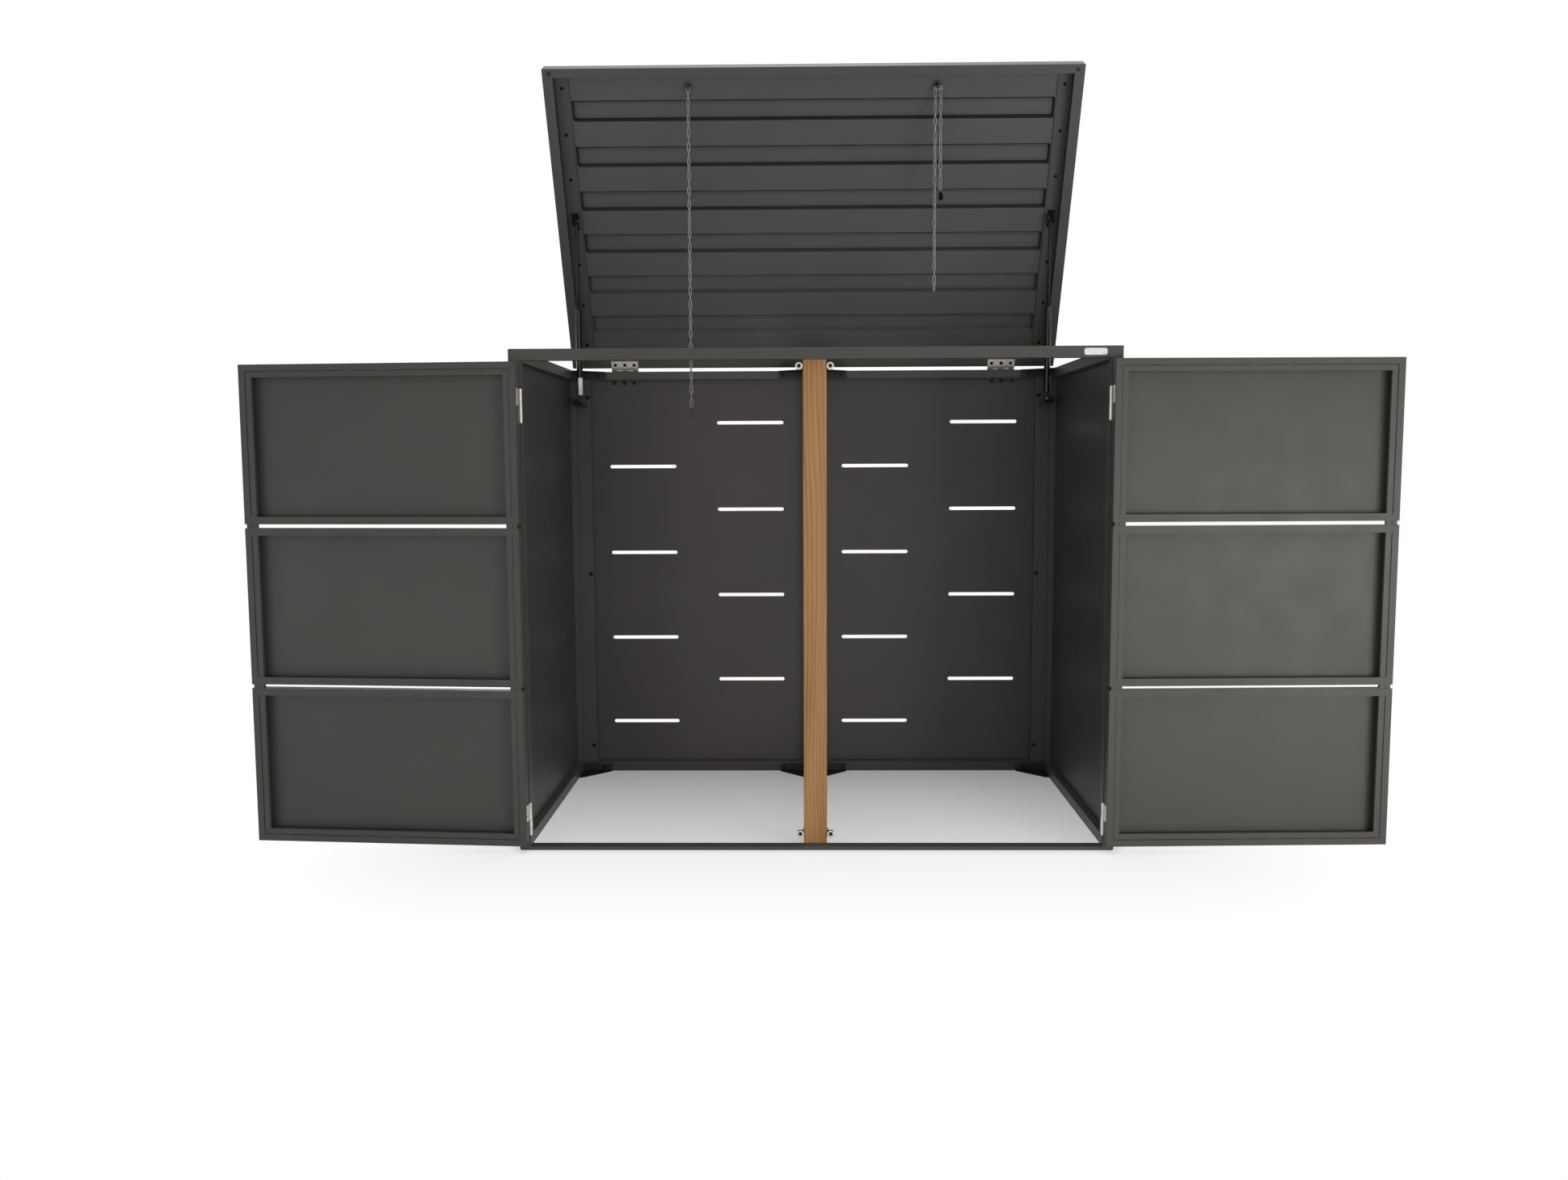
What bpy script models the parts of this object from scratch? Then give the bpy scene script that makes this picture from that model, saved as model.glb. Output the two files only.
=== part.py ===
"""Double bin store in folded sheet steel, for two wheeled bins side by side.

Metres, +Z up, +X to the right when facing the doors, which are on the -Y side.
The origin is on the floor at the middle of the frame's footprint.
The model stands as it is used to load a bin: the lid is raised on its gas struts
and both doors are swung right round beside the cabinet.
"""
import math

import bmesh
import bpy
from mathutils import Matrix, Vector

# Cabinet
WIDTH = 1.450
DEPTH = 0.844
HEIGHT = 1.214
SHEET = 0.0015
CHANNEL_WALL = 0.0015
GAP = 0.0003

# Side frames, fascia and threshold
SIDE_RAIL_FACE = 0.018
SIDE_RAIL_HEIGHT = 0.027
FRONT_POST_FACE = 0.0252
FRONT_POST_DEPTH = 0.032
BACK_POST_DEPTH = 0.032
BACK_POST_FLANGE = 0.041
FASCIA_HEIGHT = 0.027
FASCIA_DEPTH = 0.025
THRESHOLD_HEIGHT = 0.009

# Centre frame and its wooden post
WOOD_WIDTH = 0.057
WOOD_DEPTH = 0.027
WOOD_TOP_MARGIN = 0.012
CENTRE_FACE = 0.027
CENTRE_BAR = 0.030

# Back wall
BACK_RAIL_DEPTH = 0.020
BACK_RAIL_HEIGHT = 0.030
BACK_TOP_RAIL_HEIGHT = 0.0235
BACK_SHEET_MARGIN = 0.002
SLOT_LENGTH = 0.200
SLOT_HEIGHT = 0.010
SLOT_BOTTOM_MARGIN = 0.152
SLOT_TOP_MARGIN = 0.152
SLOT_ROWS = 4
SLOT_INNER_MARGIN = 0.1875
SLOT_OUTER_MARGIN = 0.2115

# Corner gussets
GUSSET_LEG_X = 0.087
GUSSET_LEG_BOTTOM = 0.090
GUSSET_LEG_TOP = 0.074
GUSSET_PLATE = 0.003
GUSSET_FLANGE = 0.022
GUSSET_TIP = 0.010
GUSSET_HOLE_RADIUS = 0.0055
GUSSET_HOLE_X = 0.028
GUSSET_HOLE_SHARE = 0.48

# Lid
LID_ANGLE = math.radians(62.65)
LID_SIDE_MARGIN = 0.007
LID_OVERHANG = 0.0175
LID_RIM_HEIGHT = 0.0345
LID_SHEET = 0.0015
LID_CORNER_RADIUS = 0.0025
LID_FLANGE_SIDE = 0.027
LID_FLANGE_FRONT = 0.023
LID_FLANGE_BACK = 0.027
LID_SEAT_GAP = 0.0026
LID_HINGE_SETBACK = 0.0084
RIB_COUNT = 6
RIB_BACK_MARGIN = 0.125
RIB_FRONT_MARGIN = 0.1164
RIB_WIDTH = 0.055
RIB_SIDE_MARGIN = 0.066
RIB_RISE = 0.0085
RIB_END_SLOPE = 0.005
RIB_FRONT_SLOPE = 0.004
RIB_BACK_SLOPE = 0.008
STRIP_WIDTH = 0.038
STRIP_THICKNESS = 0.002
STRIP_INSET = 0.025
STRIP_END = 0.028

# Lid hinges
LID_HINGE_INSET = 0.1635
LID_HINGE_WIDTH = 0.080
LID_LEAF_LENGTH = 0.032
LID_LOWER_LEAF_LENGTH = 0.052
LEAF_THICKNESS = 0.002
KNUCKLE_RADIUS = 0.004
KNUCKLE_COUNT = 5
KNUCKLE_CLEARANCE = 0.0004
LID_PIN_RADIUS = 0.0018
LID_BORE_CLEARANCE = 0.0004
SCREW_HOLE_RADIUS = 0.003
SCREW_HOLE_PITCH = 0.028
UPPER_HOLE_REACH = 0.0195
LOWER_HOLE_DROP = 0.0416

# Doors
DOOR_MIDDLE_GAP = 0.037
DOOR_THICKNESS = 0.028
DOOR_BASE = 0.0205
DOOR_TOP_GAP = 0.005
DOOR_SIDE_GAP = 0.003
DOOR_SHEET = 0.0012
DOOR_LEFT_ANGLE = math.radians(184.5)
DOOR_RIGHT_ANGLE = math.radians(181.7)
CASSETTE_COUNT = 3
CASSETTE_GAP = 0.0095
CASSETTE_EDGE_FLANGE = 0.0155
CASSETTE_GAP_FLANGE = 0.018
STILE_INSET = 0.0045
STILE_EDGE = 0.0305
STILE_DEPTH = 0.009
DOOR_HINGE_DROP = 0.102
DOOR_HINGE_RISE = 0.0595
DOOR_HINGE_LENGTH = 0.080
DOOR_HINGE_SPLIT_GAP = 0.0005
DOOR_PIN_OFFSET = 0.0058
DOOR_BARREL_RADIUS = 0.004
DOOR_PIN_RADIUS = 0.0023
DOOR_BORE_CLEARANCE = 0.0005
DOOR_PIN_HEIGHT = 0.030
DOOR_LEAF_THICKNESS = 0.0022
DOOR_LEAF_DEPTH = 0.022
DOOR_POST_LEAF_DEPTH = 0.011

# Magnetic catches
MAGNET_RADIUS = 0.0085
MAGNET_THICKNESS = 0.008
MAGNET_HOLE_RADIUS = 0.004
MAGNET_HOLE_DEPTH = 0.003
MAGNET_X = 0.0375
MAGNET_DROP = 0.009
MAGNET_RISE = 0.0115
MAGNET_PLATE = 0.002
MAGNET_PLATE_HEIGHT = 0.016
MAGNET_ARM_LENGTH = 0.020

# Gas struts
STRUT_FOOT_INSET = 0.022
STRUT_FOOT_SETBACK = 0.0722
STRUT_FOOT_DROP = 0.092
STRUT_HEAD_INSET = 0.051
STRUT_HEAD_REACH = 0.440
STRUT_HEAD_HEIGHT = 0.012
STRUT_TUBE_LENGTH = 0.268
STRUT_TUBE_RADIUS = 0.009
STRUT_BORE_DEPTH = 0.180
STRUT_BORE_CLEARANCE = 0.0005
STRUT_NECK_RADIUS = 0.0045
STRUT_NECK_LENGTH = 0.016
STRUT_ROD_RADIUS = 0.004
STRUT_ROD_INSERTED = 0.018
STRUT_EYE_RADIUS = 0.008
STRUT_EYE_THICKNESS = 0.007
STRUT_STUD_RADIUS = 0.003
STRUT_STUD_CLEARANCE = 0.0005
BRACKET_PLATE = 0.003
BRACKET_ARM_HEIGHT = 0.021
BRACKET_SHELF_WIDTH = 0.034
BRACKET_BOSS_RADIUS = 0.0044
EAR_LENGTH = 0.018

# Chains
CHAIN_X = 0.3335
CHAIN_SETBACK = 0.0534
EYE_RING_RADIUS = 0.007
EYE_WIRE_RADIUS = 0.0015
EYE_CENTRE_HEIGHT = 0.020
EYE_PLATE_RADIUS = 0.008
EYE_PLATE_THICKNESS = 0.002
LINK_PITCH = 0.0185
LINK_WIDTH = 0.0080
LINK_WIRE_RADIUS = 0.0010
LINK_CONTACT = 0.0004
LINK_PLAY = 0.0005
CHAIN_LINKS = 46
CHAIN_SHORT_LINKS = 15
STRAND_OFFSET = 0.0066
HOOK_LENGTH = 0.032
HOOK_WIDTH = 0.013
HOOK_WIRE_RADIUS = 0.0019

# Roundness
ROUND_SIDES = 12
ARC_STEPS = 5

# Places worked out from the sizes above
FRONT = -DEPTH / 2
SHEET_INNER = DEPTH / 2 - SHEET
FRAME_BACK = SHEET_INNER - GAP
RAIL_FACE = FRAME_BACK - BACK_RAIL_DEPTH
SIDE_OUTER = WIDTH / 2 - SHEET - GAP
SIDE_INNER = SIDE_OUTER - SIDE_RAIL_FACE
POST_INNER = SIDE_OUTER - FRONT_POST_FACE
FASCIA_BOTTOM = HEIGHT - FASCIA_HEIGHT
WOOD_FRONT = FRONT + FRONT_POST_DEPTH + GAP
WOOD_BACK = WOOD_FRONT + WOOD_DEPTH

SLOT_ROW_PITCH = (HEIGHT - SLOT_BOTTOM_MARGIN - SLOT_TOP_MARGIN) / (SLOT_ROWS - 0.5)
SLOT_OUTER_COLUMN = SIDE_OUTER - SLOT_OUTER_MARGIN

LID_PIVOT_Y = DEPTH / 2 + GAP + LEAF_THICKNESS - KNUCKLE_RADIUS
LID_PIVOT_Z = HEIGHT + GAP + KNUCKLE_RADIUS
LID_BASE = HEIGHT + LID_SEAT_GAP - LID_PIVOT_Z
LID_BACK = -LID_HINGE_SETBACK
LID_FRONT = FRONT - LID_OVERHANG - LID_PIVOT_Y
LID_WIDTH = WIDTH - 2 * LID_SIDE_MARGIN
LID_HINGE_X = WIDTH / 2 - LID_HINGE_INSET
STRIP_EDGE = LID_WIDTH / 2 - STRIP_INSET
RIB_PITCH = (LID_BACK - LID_FRONT - RIB_BACK_MARGIN - RIB_FRONT_MARGIN) / (RIB_COUNT - 1)
LID_SHEET_BASE = LID_BASE + LID_RIM_HEIGHT + GAP

DOOR_PIN_X = POST_INNER - DOOR_SIDE_GAP / 2
DOOR_PIN_Y = FRONT - DOOR_PIN_OFFSET
DOOR_EDGE = POST_INNER - DOOR_SIDE_GAP
DOOR_TOP = FASCIA_BOTTOM - DOOR_TOP_GAP
DOOR_HEIGHT = DOOR_TOP - DOOR_BASE
DOOR_WIDTH = DOOR_EDGE - DOOR_MIDDLE_GAP / 2
DOOR_HINGE_Z = (DOOR_TOP - DOOR_HINGE_DROP, DOOR_BASE + DOOR_HINGE_RISE)
MAGNET_Z = (DOOR_TOP - MAGNET_DROP, DOOR_BASE + MAGNET_RISE)
CASSETTE_HEIGHT = (DOOR_HEIGHT - (CASSETTE_COUNT - 1) * CASSETTE_GAP) / CASSETTE_COUNT

STILE_FRONT = DOOR_THICKNESS - DOOR_SHEET - GAP - STILE_DEPTH
STRUT_FOOT_X = SIDE_INNER - STRUT_FOOT_INSET
STRUT_FOOT_Y = RAIL_FACE - STRUT_FOOT_SETBACK
STRUT_FOOT_Z = HEIGHT - STRUT_FOOT_DROP
STRUT_HEAD_X = LID_WIDTH / 2 - STRUT_HEAD_INSET
CHAIN_REACH = LID_BACK - LID_FRONT - CHAIN_SETBACK


def clear_scene():
    """Remove what the scene holds, so that the script can run again."""
    for old in list(bpy.data.objects):
        bpy.data.objects.remove(old, do_unlink=True)
    for group in list(bpy.data.collections):
        bpy.data.collections.remove(group)


def new_collection(name):
    group = bpy.data.collections.new(name)
    bpy.context.scene.collection.children.link(group)
    return group


def new_material(name, colour, roughness, metallic):
    material = bpy.data.materials.new(name)
    material.use_nodes = True
    shader = material.node_tree.nodes["Principled BSDF"]
    shader.inputs["Base Color"].default_value = (*colour, 1.0)
    shader.inputs["Roughness"].default_value = roughness
    shader.inputs["Metallic"].default_value = metallic
    material.diffuse_color = (*colour, 1.0)
    return material


clear_scene()
PARTS = new_collection("bin_store")
CUTTERS = new_collection("bin_store_cutters")

ANTHRACITE = (0.070, 0.067, 0.063)
FINISHES = {
    "coated_steel": (ANTHRACITE, 0.45, 0.0),
    "coated_sheet": ((0.052, 0.050, 0.047), 0.45, 0.0),
    "zinc": ((0.56, 0.54, 0.51), 0.35, 1.0),
    "wood": ((0.38, 0.20, 0.09), 0.60, 0.0),
    "nickel": ((0.62, 0.60, 0.56), 0.30, 1.0),
    "black_paint": ((0.012, 0.012, 0.013), 0.35, 0.0),
    "polished_rod": ((0.30, 0.30, 0.31), 0.20, 1.0),
}


# Meshes

def box_mesh(low, high):
    """A box between two corners."""
    bm = bmesh.new()
    size = [b - a for a, b in zip(low, high)]
    middle = [(a + b) / 2 for a, b in zip(low, high)]
    bmesh.ops.create_cube(bm, size=1.0, matrix=Matrix.Translation(middle) @ Matrix.Diagonal((*size, 1.0)))
    mesh = bpy.data.meshes.new("box")
    bm.to_mesh(mesh)
    bm.free()
    return mesh


def cylinder_mesh(start, direction, length, radius, sides=ROUND_SIDES):
    """A round bar from a point along a direction."""
    bm = bmesh.new()
    turn = Vector(direction).to_track_quat("Z", "Y").to_matrix().to_4x4()
    middle = Matrix.Translation(Vector(start)) @ turn @ Matrix.Translation((0.0, 0.0, length / 2))
    bmesh.ops.create_cone(bm, cap_ends=True, segments=sides, radius1=radius, radius2=radius,
                          depth=length, matrix=middle)
    mesh = bpy.data.meshes.new("cylinder")
    bm.to_mesh(mesh)
    bm.free()
    return mesh


PLANES = {
    "XY": Matrix(((1, 0, 0), (0, 1, 0), (0, 0, 1))).to_4x4(),
    "XZ": Matrix(((1, 0, 0), (0, 0, -1), (0, 1, 0))).to_4x4(),
    "YZ": Matrix(((0, 0, 1), (1, 0, 0), (0, 1, 0))).to_4x4(),
}
NORMALS = {"XY": Vector((0, 0, 1)), "XZ": Vector((0, 1, 0)), "YZ": Vector((1, 0, 0))}


def mesh_from_curve(curve, merge=0.00001):
    """The mesh of a curve, with its caps welded on."""
    guide = bpy.data.objects.new("guide", curve)
    CUTTERS.objects.link(guide)
    bpy.context.view_layer.update()
    graph = bpy.context.evaluated_depsgraph_get()
    mesh = bpy.data.meshes.new_from_object(guide.evaluated_get(graph))
    bm = bmesh.new()
    bm.from_mesh(mesh)
    bmesh.ops.remove_doubles(bm, verts=bm.verts, dist=merge)
    bmesh.ops.recalc_face_normals(bm, faces=bm.faces)
    bm.to_mesh(mesh)
    bm.free()
    mesh.materials.clear()
    bpy.data.objects.remove(guide, do_unlink=True)
    bpy.data.curves.remove(curve)
    return mesh


def plate_mesh(loops, plane, start, end):
    """A flat outline, with any holes, between two levels of the plane's normal."""
    curve = bpy.data.curves.new("outline", "CURVE")
    curve.dimensions = "2D"
    curve.fill_mode = "BOTH"
    curve.extrude = (end - start) / 2
    for loop in loops:
        spline = curve.splines.new("POLY")
        spline.points.add(len(loop) - 1)
        for point, (u, v) in zip(spline.points, loop):
            point.co = (u, v, 0.0, 1.0)
        spline.use_cyclic_u = True
    mesh = mesh_from_curve(curve)
    mesh.transform(Matrix.Translation(NORMALS[plane] * (start + end) / 2) @ PLANES[plane])
    return mesh


def wire_mesh(points, radius, resolution=0):
    """A closed ring of round wire through points."""
    curve = bpy.data.curves.new("wire", "CURVE")
    curve.dimensions = "3D"
    curve.bevel_depth = radius
    curve.bevel_resolution = resolution
    spline = curve.splines.new("POLY")
    spline.points.add(len(points) - 1)
    for point, place in zip(spline.points, points):
        point.co = (*place, 1.0)
    spline.use_cyclic_u = True
    return mesh_from_curve(curve)


def joined(*meshes):
    """Several separate meshes as one, for a modifier to read."""
    bm = bmesh.new()
    for mesh in meshes:
        bm.from_mesh(mesh)
        bpy.data.meshes.remove(mesh)
    result = bpy.data.meshes.new("joined")
    bm.to_mesh(result)
    bm.free()
    return result


def mirrored(mesh):
    """The same mesh on the other side of X = 0."""
    copy = mesh.copy()
    copy.transform(Matrix.Scale(-1.0, 4, (1, 0, 0)))
    copy.flip_normals()
    return copy


# Outlines

def rectangle(u0, v0, u1, v1):
    return [(u0, v0), (u1, v0), (u1, v1), (u0, v1)]


def arc(centre, radius, start, end, steps=ARC_STEPS):
    return [(centre[0] + radius * math.cos(start + (end - start) * i / steps),
             centre[1] + radius * math.sin(start + (end - start) * i / steps)) for i in range(steps + 1)]


def circle(centre, radius, sides=ROUND_SIDES):
    return arc(centre, radius, 0.0, 2 * math.pi * (1 - 1 / sides), sides - 1)


def rounded_rectangle(u0, v0, u1, v1, radius, steps=ARC_STEPS):
    corners = (((u1 - radius, v1 - radius), 0.0), ((u0 + radius, v1 - radius), 0.5),
               ((u0 + radius, v0 + radius), 1.0), ((u1 - radius, v0 + radius), 1.5))
    loop = []
    for centre, turn in corners:
        loop += arc(centre, radius, turn * math.pi, (turn + 0.5) * math.pi, steps)
    return loop


def slot_outline(u, v):
    """A round-ended slot about its middle."""
    reach = (SLOT_LENGTH - SLOT_HEIGHT) / 2
    radius = SLOT_HEIGHT / 2
    return (arc((u + reach, v), radius, -math.pi / 2, math.pi / 2)
            + arc((u - reach, v), radius, math.pi / 2, 3 * math.pi / 2))


# Objects and modifiers

def add_part(name, mesh, finish, parent=None, smooth=False):
    """One named sub-part with its own material."""
    mesh.name = name
    part = bpy.data.objects.new(name, mesh)
    colour, roughness, metallic = FINISHES[finish]
    mesh.materials.clear()
    mesh.materials.append(new_material(name, colour, roughness, metallic))
    if smooth:
        mesh.shade_smooth()
        mesh.set_sharp_from_angle(angle=math.radians(35))
    PARTS.objects.link(part)
    part.parent = parent
    return part


def apply_shape(part, mesh, operation):
    """Cut a shape out of a part, join one to it, or keep what they share."""
    helper = bpy.data.objects.new(f"{part.name}_{operation.lower()}_{len(part.modifiers)}", mesh)
    CUTTERS.objects.link(helper)
    helper.parent = part.parent
    helper.hide_render = True
    helper.display_type = "WIRE"
    change = part.modifiers.new(operation.title(), "BOOLEAN")
    change.operation = operation
    change.solver = "EXACT"
    change.object = helper
    return part


def cut(part, mesh):
    return apply_shape(part, mesh, "DIFFERENCE")


def join(part, mesh):
    return apply_shape(part, mesh, "UNION")


def pivot(name, place, axis="X", angle=0.0, parent=None):
    """An empty on a joint's axis."""
    empty = bpy.data.objects.new(name, None)
    empty.empty_display_size = 0.03
    empty.location = place
    empty.rotation_euler["XYZ".index(axis)] = angle
    CUTTERS.objects.link(empty)
    empty.parent = parent
    return empty


# Cabinet

def side_outline(inset):
    """A side frame seen from the side, with the corner that the fascia fills cut away."""
    notch_y = FRONT + FASCIA_DEPTH + GAP + inset
    notch_z = FASCIA_BOTTOM - GAP - inset
    return [(FRONT + inset, inset), (FRAME_BACK - inset, inset), (FRAME_BACK - inset, HEIGHT - inset),
            (notch_y, HEIGHT - inset), (notch_y, notch_z), (FRONT + inset, notch_z)]


def side_window(grow):
    return rectangle(FRONT + FRONT_POST_DEPTH - grow, SIDE_RAIL_HEIGHT - grow,
                     FRAME_BACK - BACK_POST_DEPTH + grow, HEIGHT - SIDE_RAIL_HEIGHT + grow)


def side_frame_meshes():
    """A welded ring of channel, open to the outside, its jamb and its back flange."""
    ring = plate_mesh([side_outline(0.0), side_window(0.0)], "YZ", SIDE_INNER, SIDE_OUTER)
    groove = plate_mesh([side_outline(CHANNEL_WALL), side_window(CHANNEL_WALL)], "YZ",
                        SIDE_INNER + CHANNEL_WALL, SIDE_OUTER + SHEET)
    jamb = box_mesh((POST_INNER, FRONT, 0.0),
                    (SIDE_INNER + CHANNEL_WALL / 2, FRONT + FRONT_POST_DEPTH, FASCIA_BOTTOM - GAP))
    flange = box_mesh((SIDE_INNER - BACK_POST_FLANGE, RAIL_FACE, BACK_RAIL_HEIGHT + GAP),
                      (SIDE_INNER + CHANNEL_WALL / 2, RAIL_FACE + CHANNEL_WALL,
                       HEIGHT - BACK_TOP_RAIL_HEIGHT - GAP))
    return ring, groove, joined(jamb, flange)


def build_sides():
    for side, mirror in (("left", True), ("right", False)):
        meshes = side_frame_meshes()
        sheet = box_mesh((WIDTH / 2 - SHEET, FRONT, BACK_SHEET_MARGIN), (WIDTH / 2, DEPTH / 2, HEIGHT))
        if mirror:
            meshes = [mirrored(mesh) for mesh in meshes]
            sheet = mirrored(sheet)
        ring, groove, additions = meshes
        frame = add_part(f"side_frame_{side}", ring, "coated_steel")
        cut(frame, groove)
        join(frame, additions)
        add_part(f"side_panel_{side}", sheet, "coated_sheet")


def build_front():
    """The fascia is a channel open to the back, and the threshold a flat bar between the posts."""
    reach = SIDE_OUTER
    wall = CHANNEL_WALL
    back = FRONT + FASCIA_DEPTH
    section = [(FRONT, FASCIA_BOTTOM), (back, FASCIA_BOTTOM), (back, FASCIA_BOTTOM + wall),
               (FRONT + wall, FASCIA_BOTTOM + wall), (FRONT + wall, HEIGHT - wall), (back, HEIGHT - wall),
               (back, HEIGHT), (FRONT, HEIGHT)]
    add_part("front_top_rail", plate_mesh([section], "YZ", -reach, reach), "coated_steel")
    bar = box_mesh((-POST_INNER + GAP, FRONT, 0.0),
                   (POST_INNER - GAP, FRONT + FRONT_POST_DEPTH, THRESHOLD_HEIGHT))
    add_part("threshold_bar", bar, "coated_steel")


def build_centre():
    """A ring of channel from front to back carries the wooden post between the doors."""
    half = CENTRE_FACE / 2
    front = WOOD_BACK + GAP
    back = RAIL_FACE - GAP
    ring = plate_mesh([rectangle(front, 0.0, back, HEIGHT),
                       rectangle(front + CENTRE_BAR, CENTRE_BAR, back - CENTRE_BAR, HEIGHT - CENTRE_BAR)],
                      "YZ", -half, half)
    frame = add_part("centre_frame", ring, "coated_steel")
    wall = CHANNEL_WALL
    cut(frame, box_mesh((wall - half, front + wall, wall), (half - wall, back - wall, HEIGHT - wall)))
    post = plate_mesh([rounded_rectangle(-WOOD_WIDTH / 2, WOOD_FRONT, WOOD_WIDTH / 2, WOOD_BACK, 0.002, 2)],
                      "XY", 0.0, HEIGHT - WOOD_TOP_MARGIN)
    add_part("wood_post", post, "wood")


def back_rail_section(low, high):
    wall = CHANNEL_WALL
    return [(RAIL_FACE, low), (FRAME_BACK, low), (FRAME_BACK, low + wall), (RAIL_FACE + wall, low + wall),
            (RAIL_FACE + wall, high - wall), (FRAME_BACK, high - wall), (FRAME_BACK, high), (RAIL_FACE, high)]


def slot_places(side):
    """Middles of the slots in one back sheet: two columns, one half a pitch above the other."""
    low_column, high_column = SLOT_OUTER_COLUMN, SLOT_INNER_MARGIN
    if side > 0:
        low_column, high_column = high_column, low_column
    for row in range(SLOT_ROWS):
        yield side * low_column, SLOT_BOTTOM_MARGIN + row * SLOT_ROW_PITCH
        yield side * high_column, SLOT_BOTTOM_MARGIN + (row + 0.5) * SLOT_ROW_PITCH


def build_back():
    reach = SIDE_INNER - GAP
    rails = (("back_bottom_rail", 0.0, BACK_RAIL_HEIGHT),
             ("back_top_rail", HEIGHT - BACK_TOP_RAIL_HEIGHT, HEIGHT))
    for name, low, high in rails:
        add_part(name, plate_mesh([back_rail_section(low, high)], "YZ", -reach, reach), "coated_steel")
    for name, side in (("left", -1), ("right", 1)):
        edges = sorted((side * GAP, side * SIDE_OUTER))
        outline = rectangle(edges[0], BACK_SHEET_MARGIN, edges[1], HEIGHT - BACK_SHEET_MARGIN)
        slots = [slot_outline(u, v) for u, v in slot_places(side)]
        sheet = plate_mesh([outline, *slots], "XZ", SHEET_INNER, DEPTH / 2)
        add_part(f"back_panel_{name}", sheet, "coated_sheet")


def gusset_meshes(corner_x, outward, level, leg, flange_up):
    """A triangular plate in a corner at the back, with a flange against the back rail."""
    corner_y = RAIL_FACE - GAP
    tip_x = corner_x - outward * GUSSET_LEG_X
    tip_y = corner_y - leg
    outline = [(corner_x, corner_y), (tip_x, corner_y), (tip_x, corner_y - GUSSET_TIP),
               (corner_x - outward * GUSSET_TIP, tip_y), (corner_x, tip_y)]
    hole = circle((corner_x - outward * GUSSET_HOLE_X, corner_y - leg * GUSSET_HOLE_SHARE),
                  GUSSET_HOLE_RADIUS)
    plate = plate_mesh([outline, hole], "XY", level, level + GUSSET_PLATE)
    flange_ends = sorted((level, level + GUSSET_FLANGE)) if flange_up else (
        level + GUSSET_PLATE - GUSSET_FLANGE, level + GUSSET_PLATE)
    ends = sorted((corner_x, tip_x))
    flange = box_mesh((ends[0], corner_y - GUSSET_PLATE, flange_ends[0]), (ends[1], corner_y, flange_ends[1]))
    return plate, flange


def build_gussets():
    """Plates brace the side frames and the centre frame to the back rails, at floor and lid level."""
    levels = (("bottom", 0.0, GUSSET_LEG_BOTTOM, True), ("top", HEIGHT - GUSSET_PLATE, GUSSET_LEG_TOP, False))
    for level_name, level, leg, flange_up in levels:
        for side_name, side in (("left", -1), ("right", 1)):
            corners = (("corner", side * (SIDE_INNER - GAP), side),
                       ("centre", side * (CENTRE_FACE / 2 + GAP), -side))
            for place_name, corner_x, outward in corners:
                plate, flange = gusset_meshes(corner_x, outward, level, leg, flange_up)
                part = add_part(f"{place_name}_gusset_{level_name}_{side_name}", plate, "coated_steel")
                join(part, flange)


def magnet_meshes(side, height):
    """A pot magnet on an angle plate that is screwed to the wooden post's side."""
    face = FRONT + DOOR_THICKNESS + GAP
    back = face + MAGNET_THICKNESS
    x = side * MAGNET_X
    pot = cylinder_mesh((x, face, height), (0, 1, 0), MAGNET_THICKNESS, MAGNET_RADIUS)
    recess = cylinder_mesh((x, face - MAGNET_THICKNESS, height), (0, 1, 0),
                           MAGNET_THICKNESS + MAGNET_HOLE_DEPTH, MAGNET_HOLE_RADIUS)
    near = WOOD_WIDTH / 2 + GAP
    half = MAGNET_PLATE_HEIGHT / 2
    overlap = MAGNET_PLATE / 4
    ends = sorted((side * near, side * (MAGNET_X + MAGNET_RADIUS * 0.7)))
    foot = box_mesh((ends[0], back - overlap, height - half), (ends[1], back + MAGNET_PLATE, height + half))
    ends = sorted((side * near, side * (near + MAGNET_PLATE)))
    arm = box_mesh((ends[0], back, height - half - overlap),
                   (ends[1], back + MAGNET_ARM_LENGTH, height + half + overlap))
    return pot, foot, arm, recess


def build_magnets():
    for level_name, height in zip(("top", "bottom"), MAGNET_Z):
        for side_name, side in (("left", -1), ("right", 1)):
            pot, foot, arm, recess = magnet_meshes(side, height)
            part = add_part(f"magnet_catch_{level_name}_{side_name}", foot, "nickel")
            join(part, pot)
            join(part, arm)
            cut(part, recess)


# Lid

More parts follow.
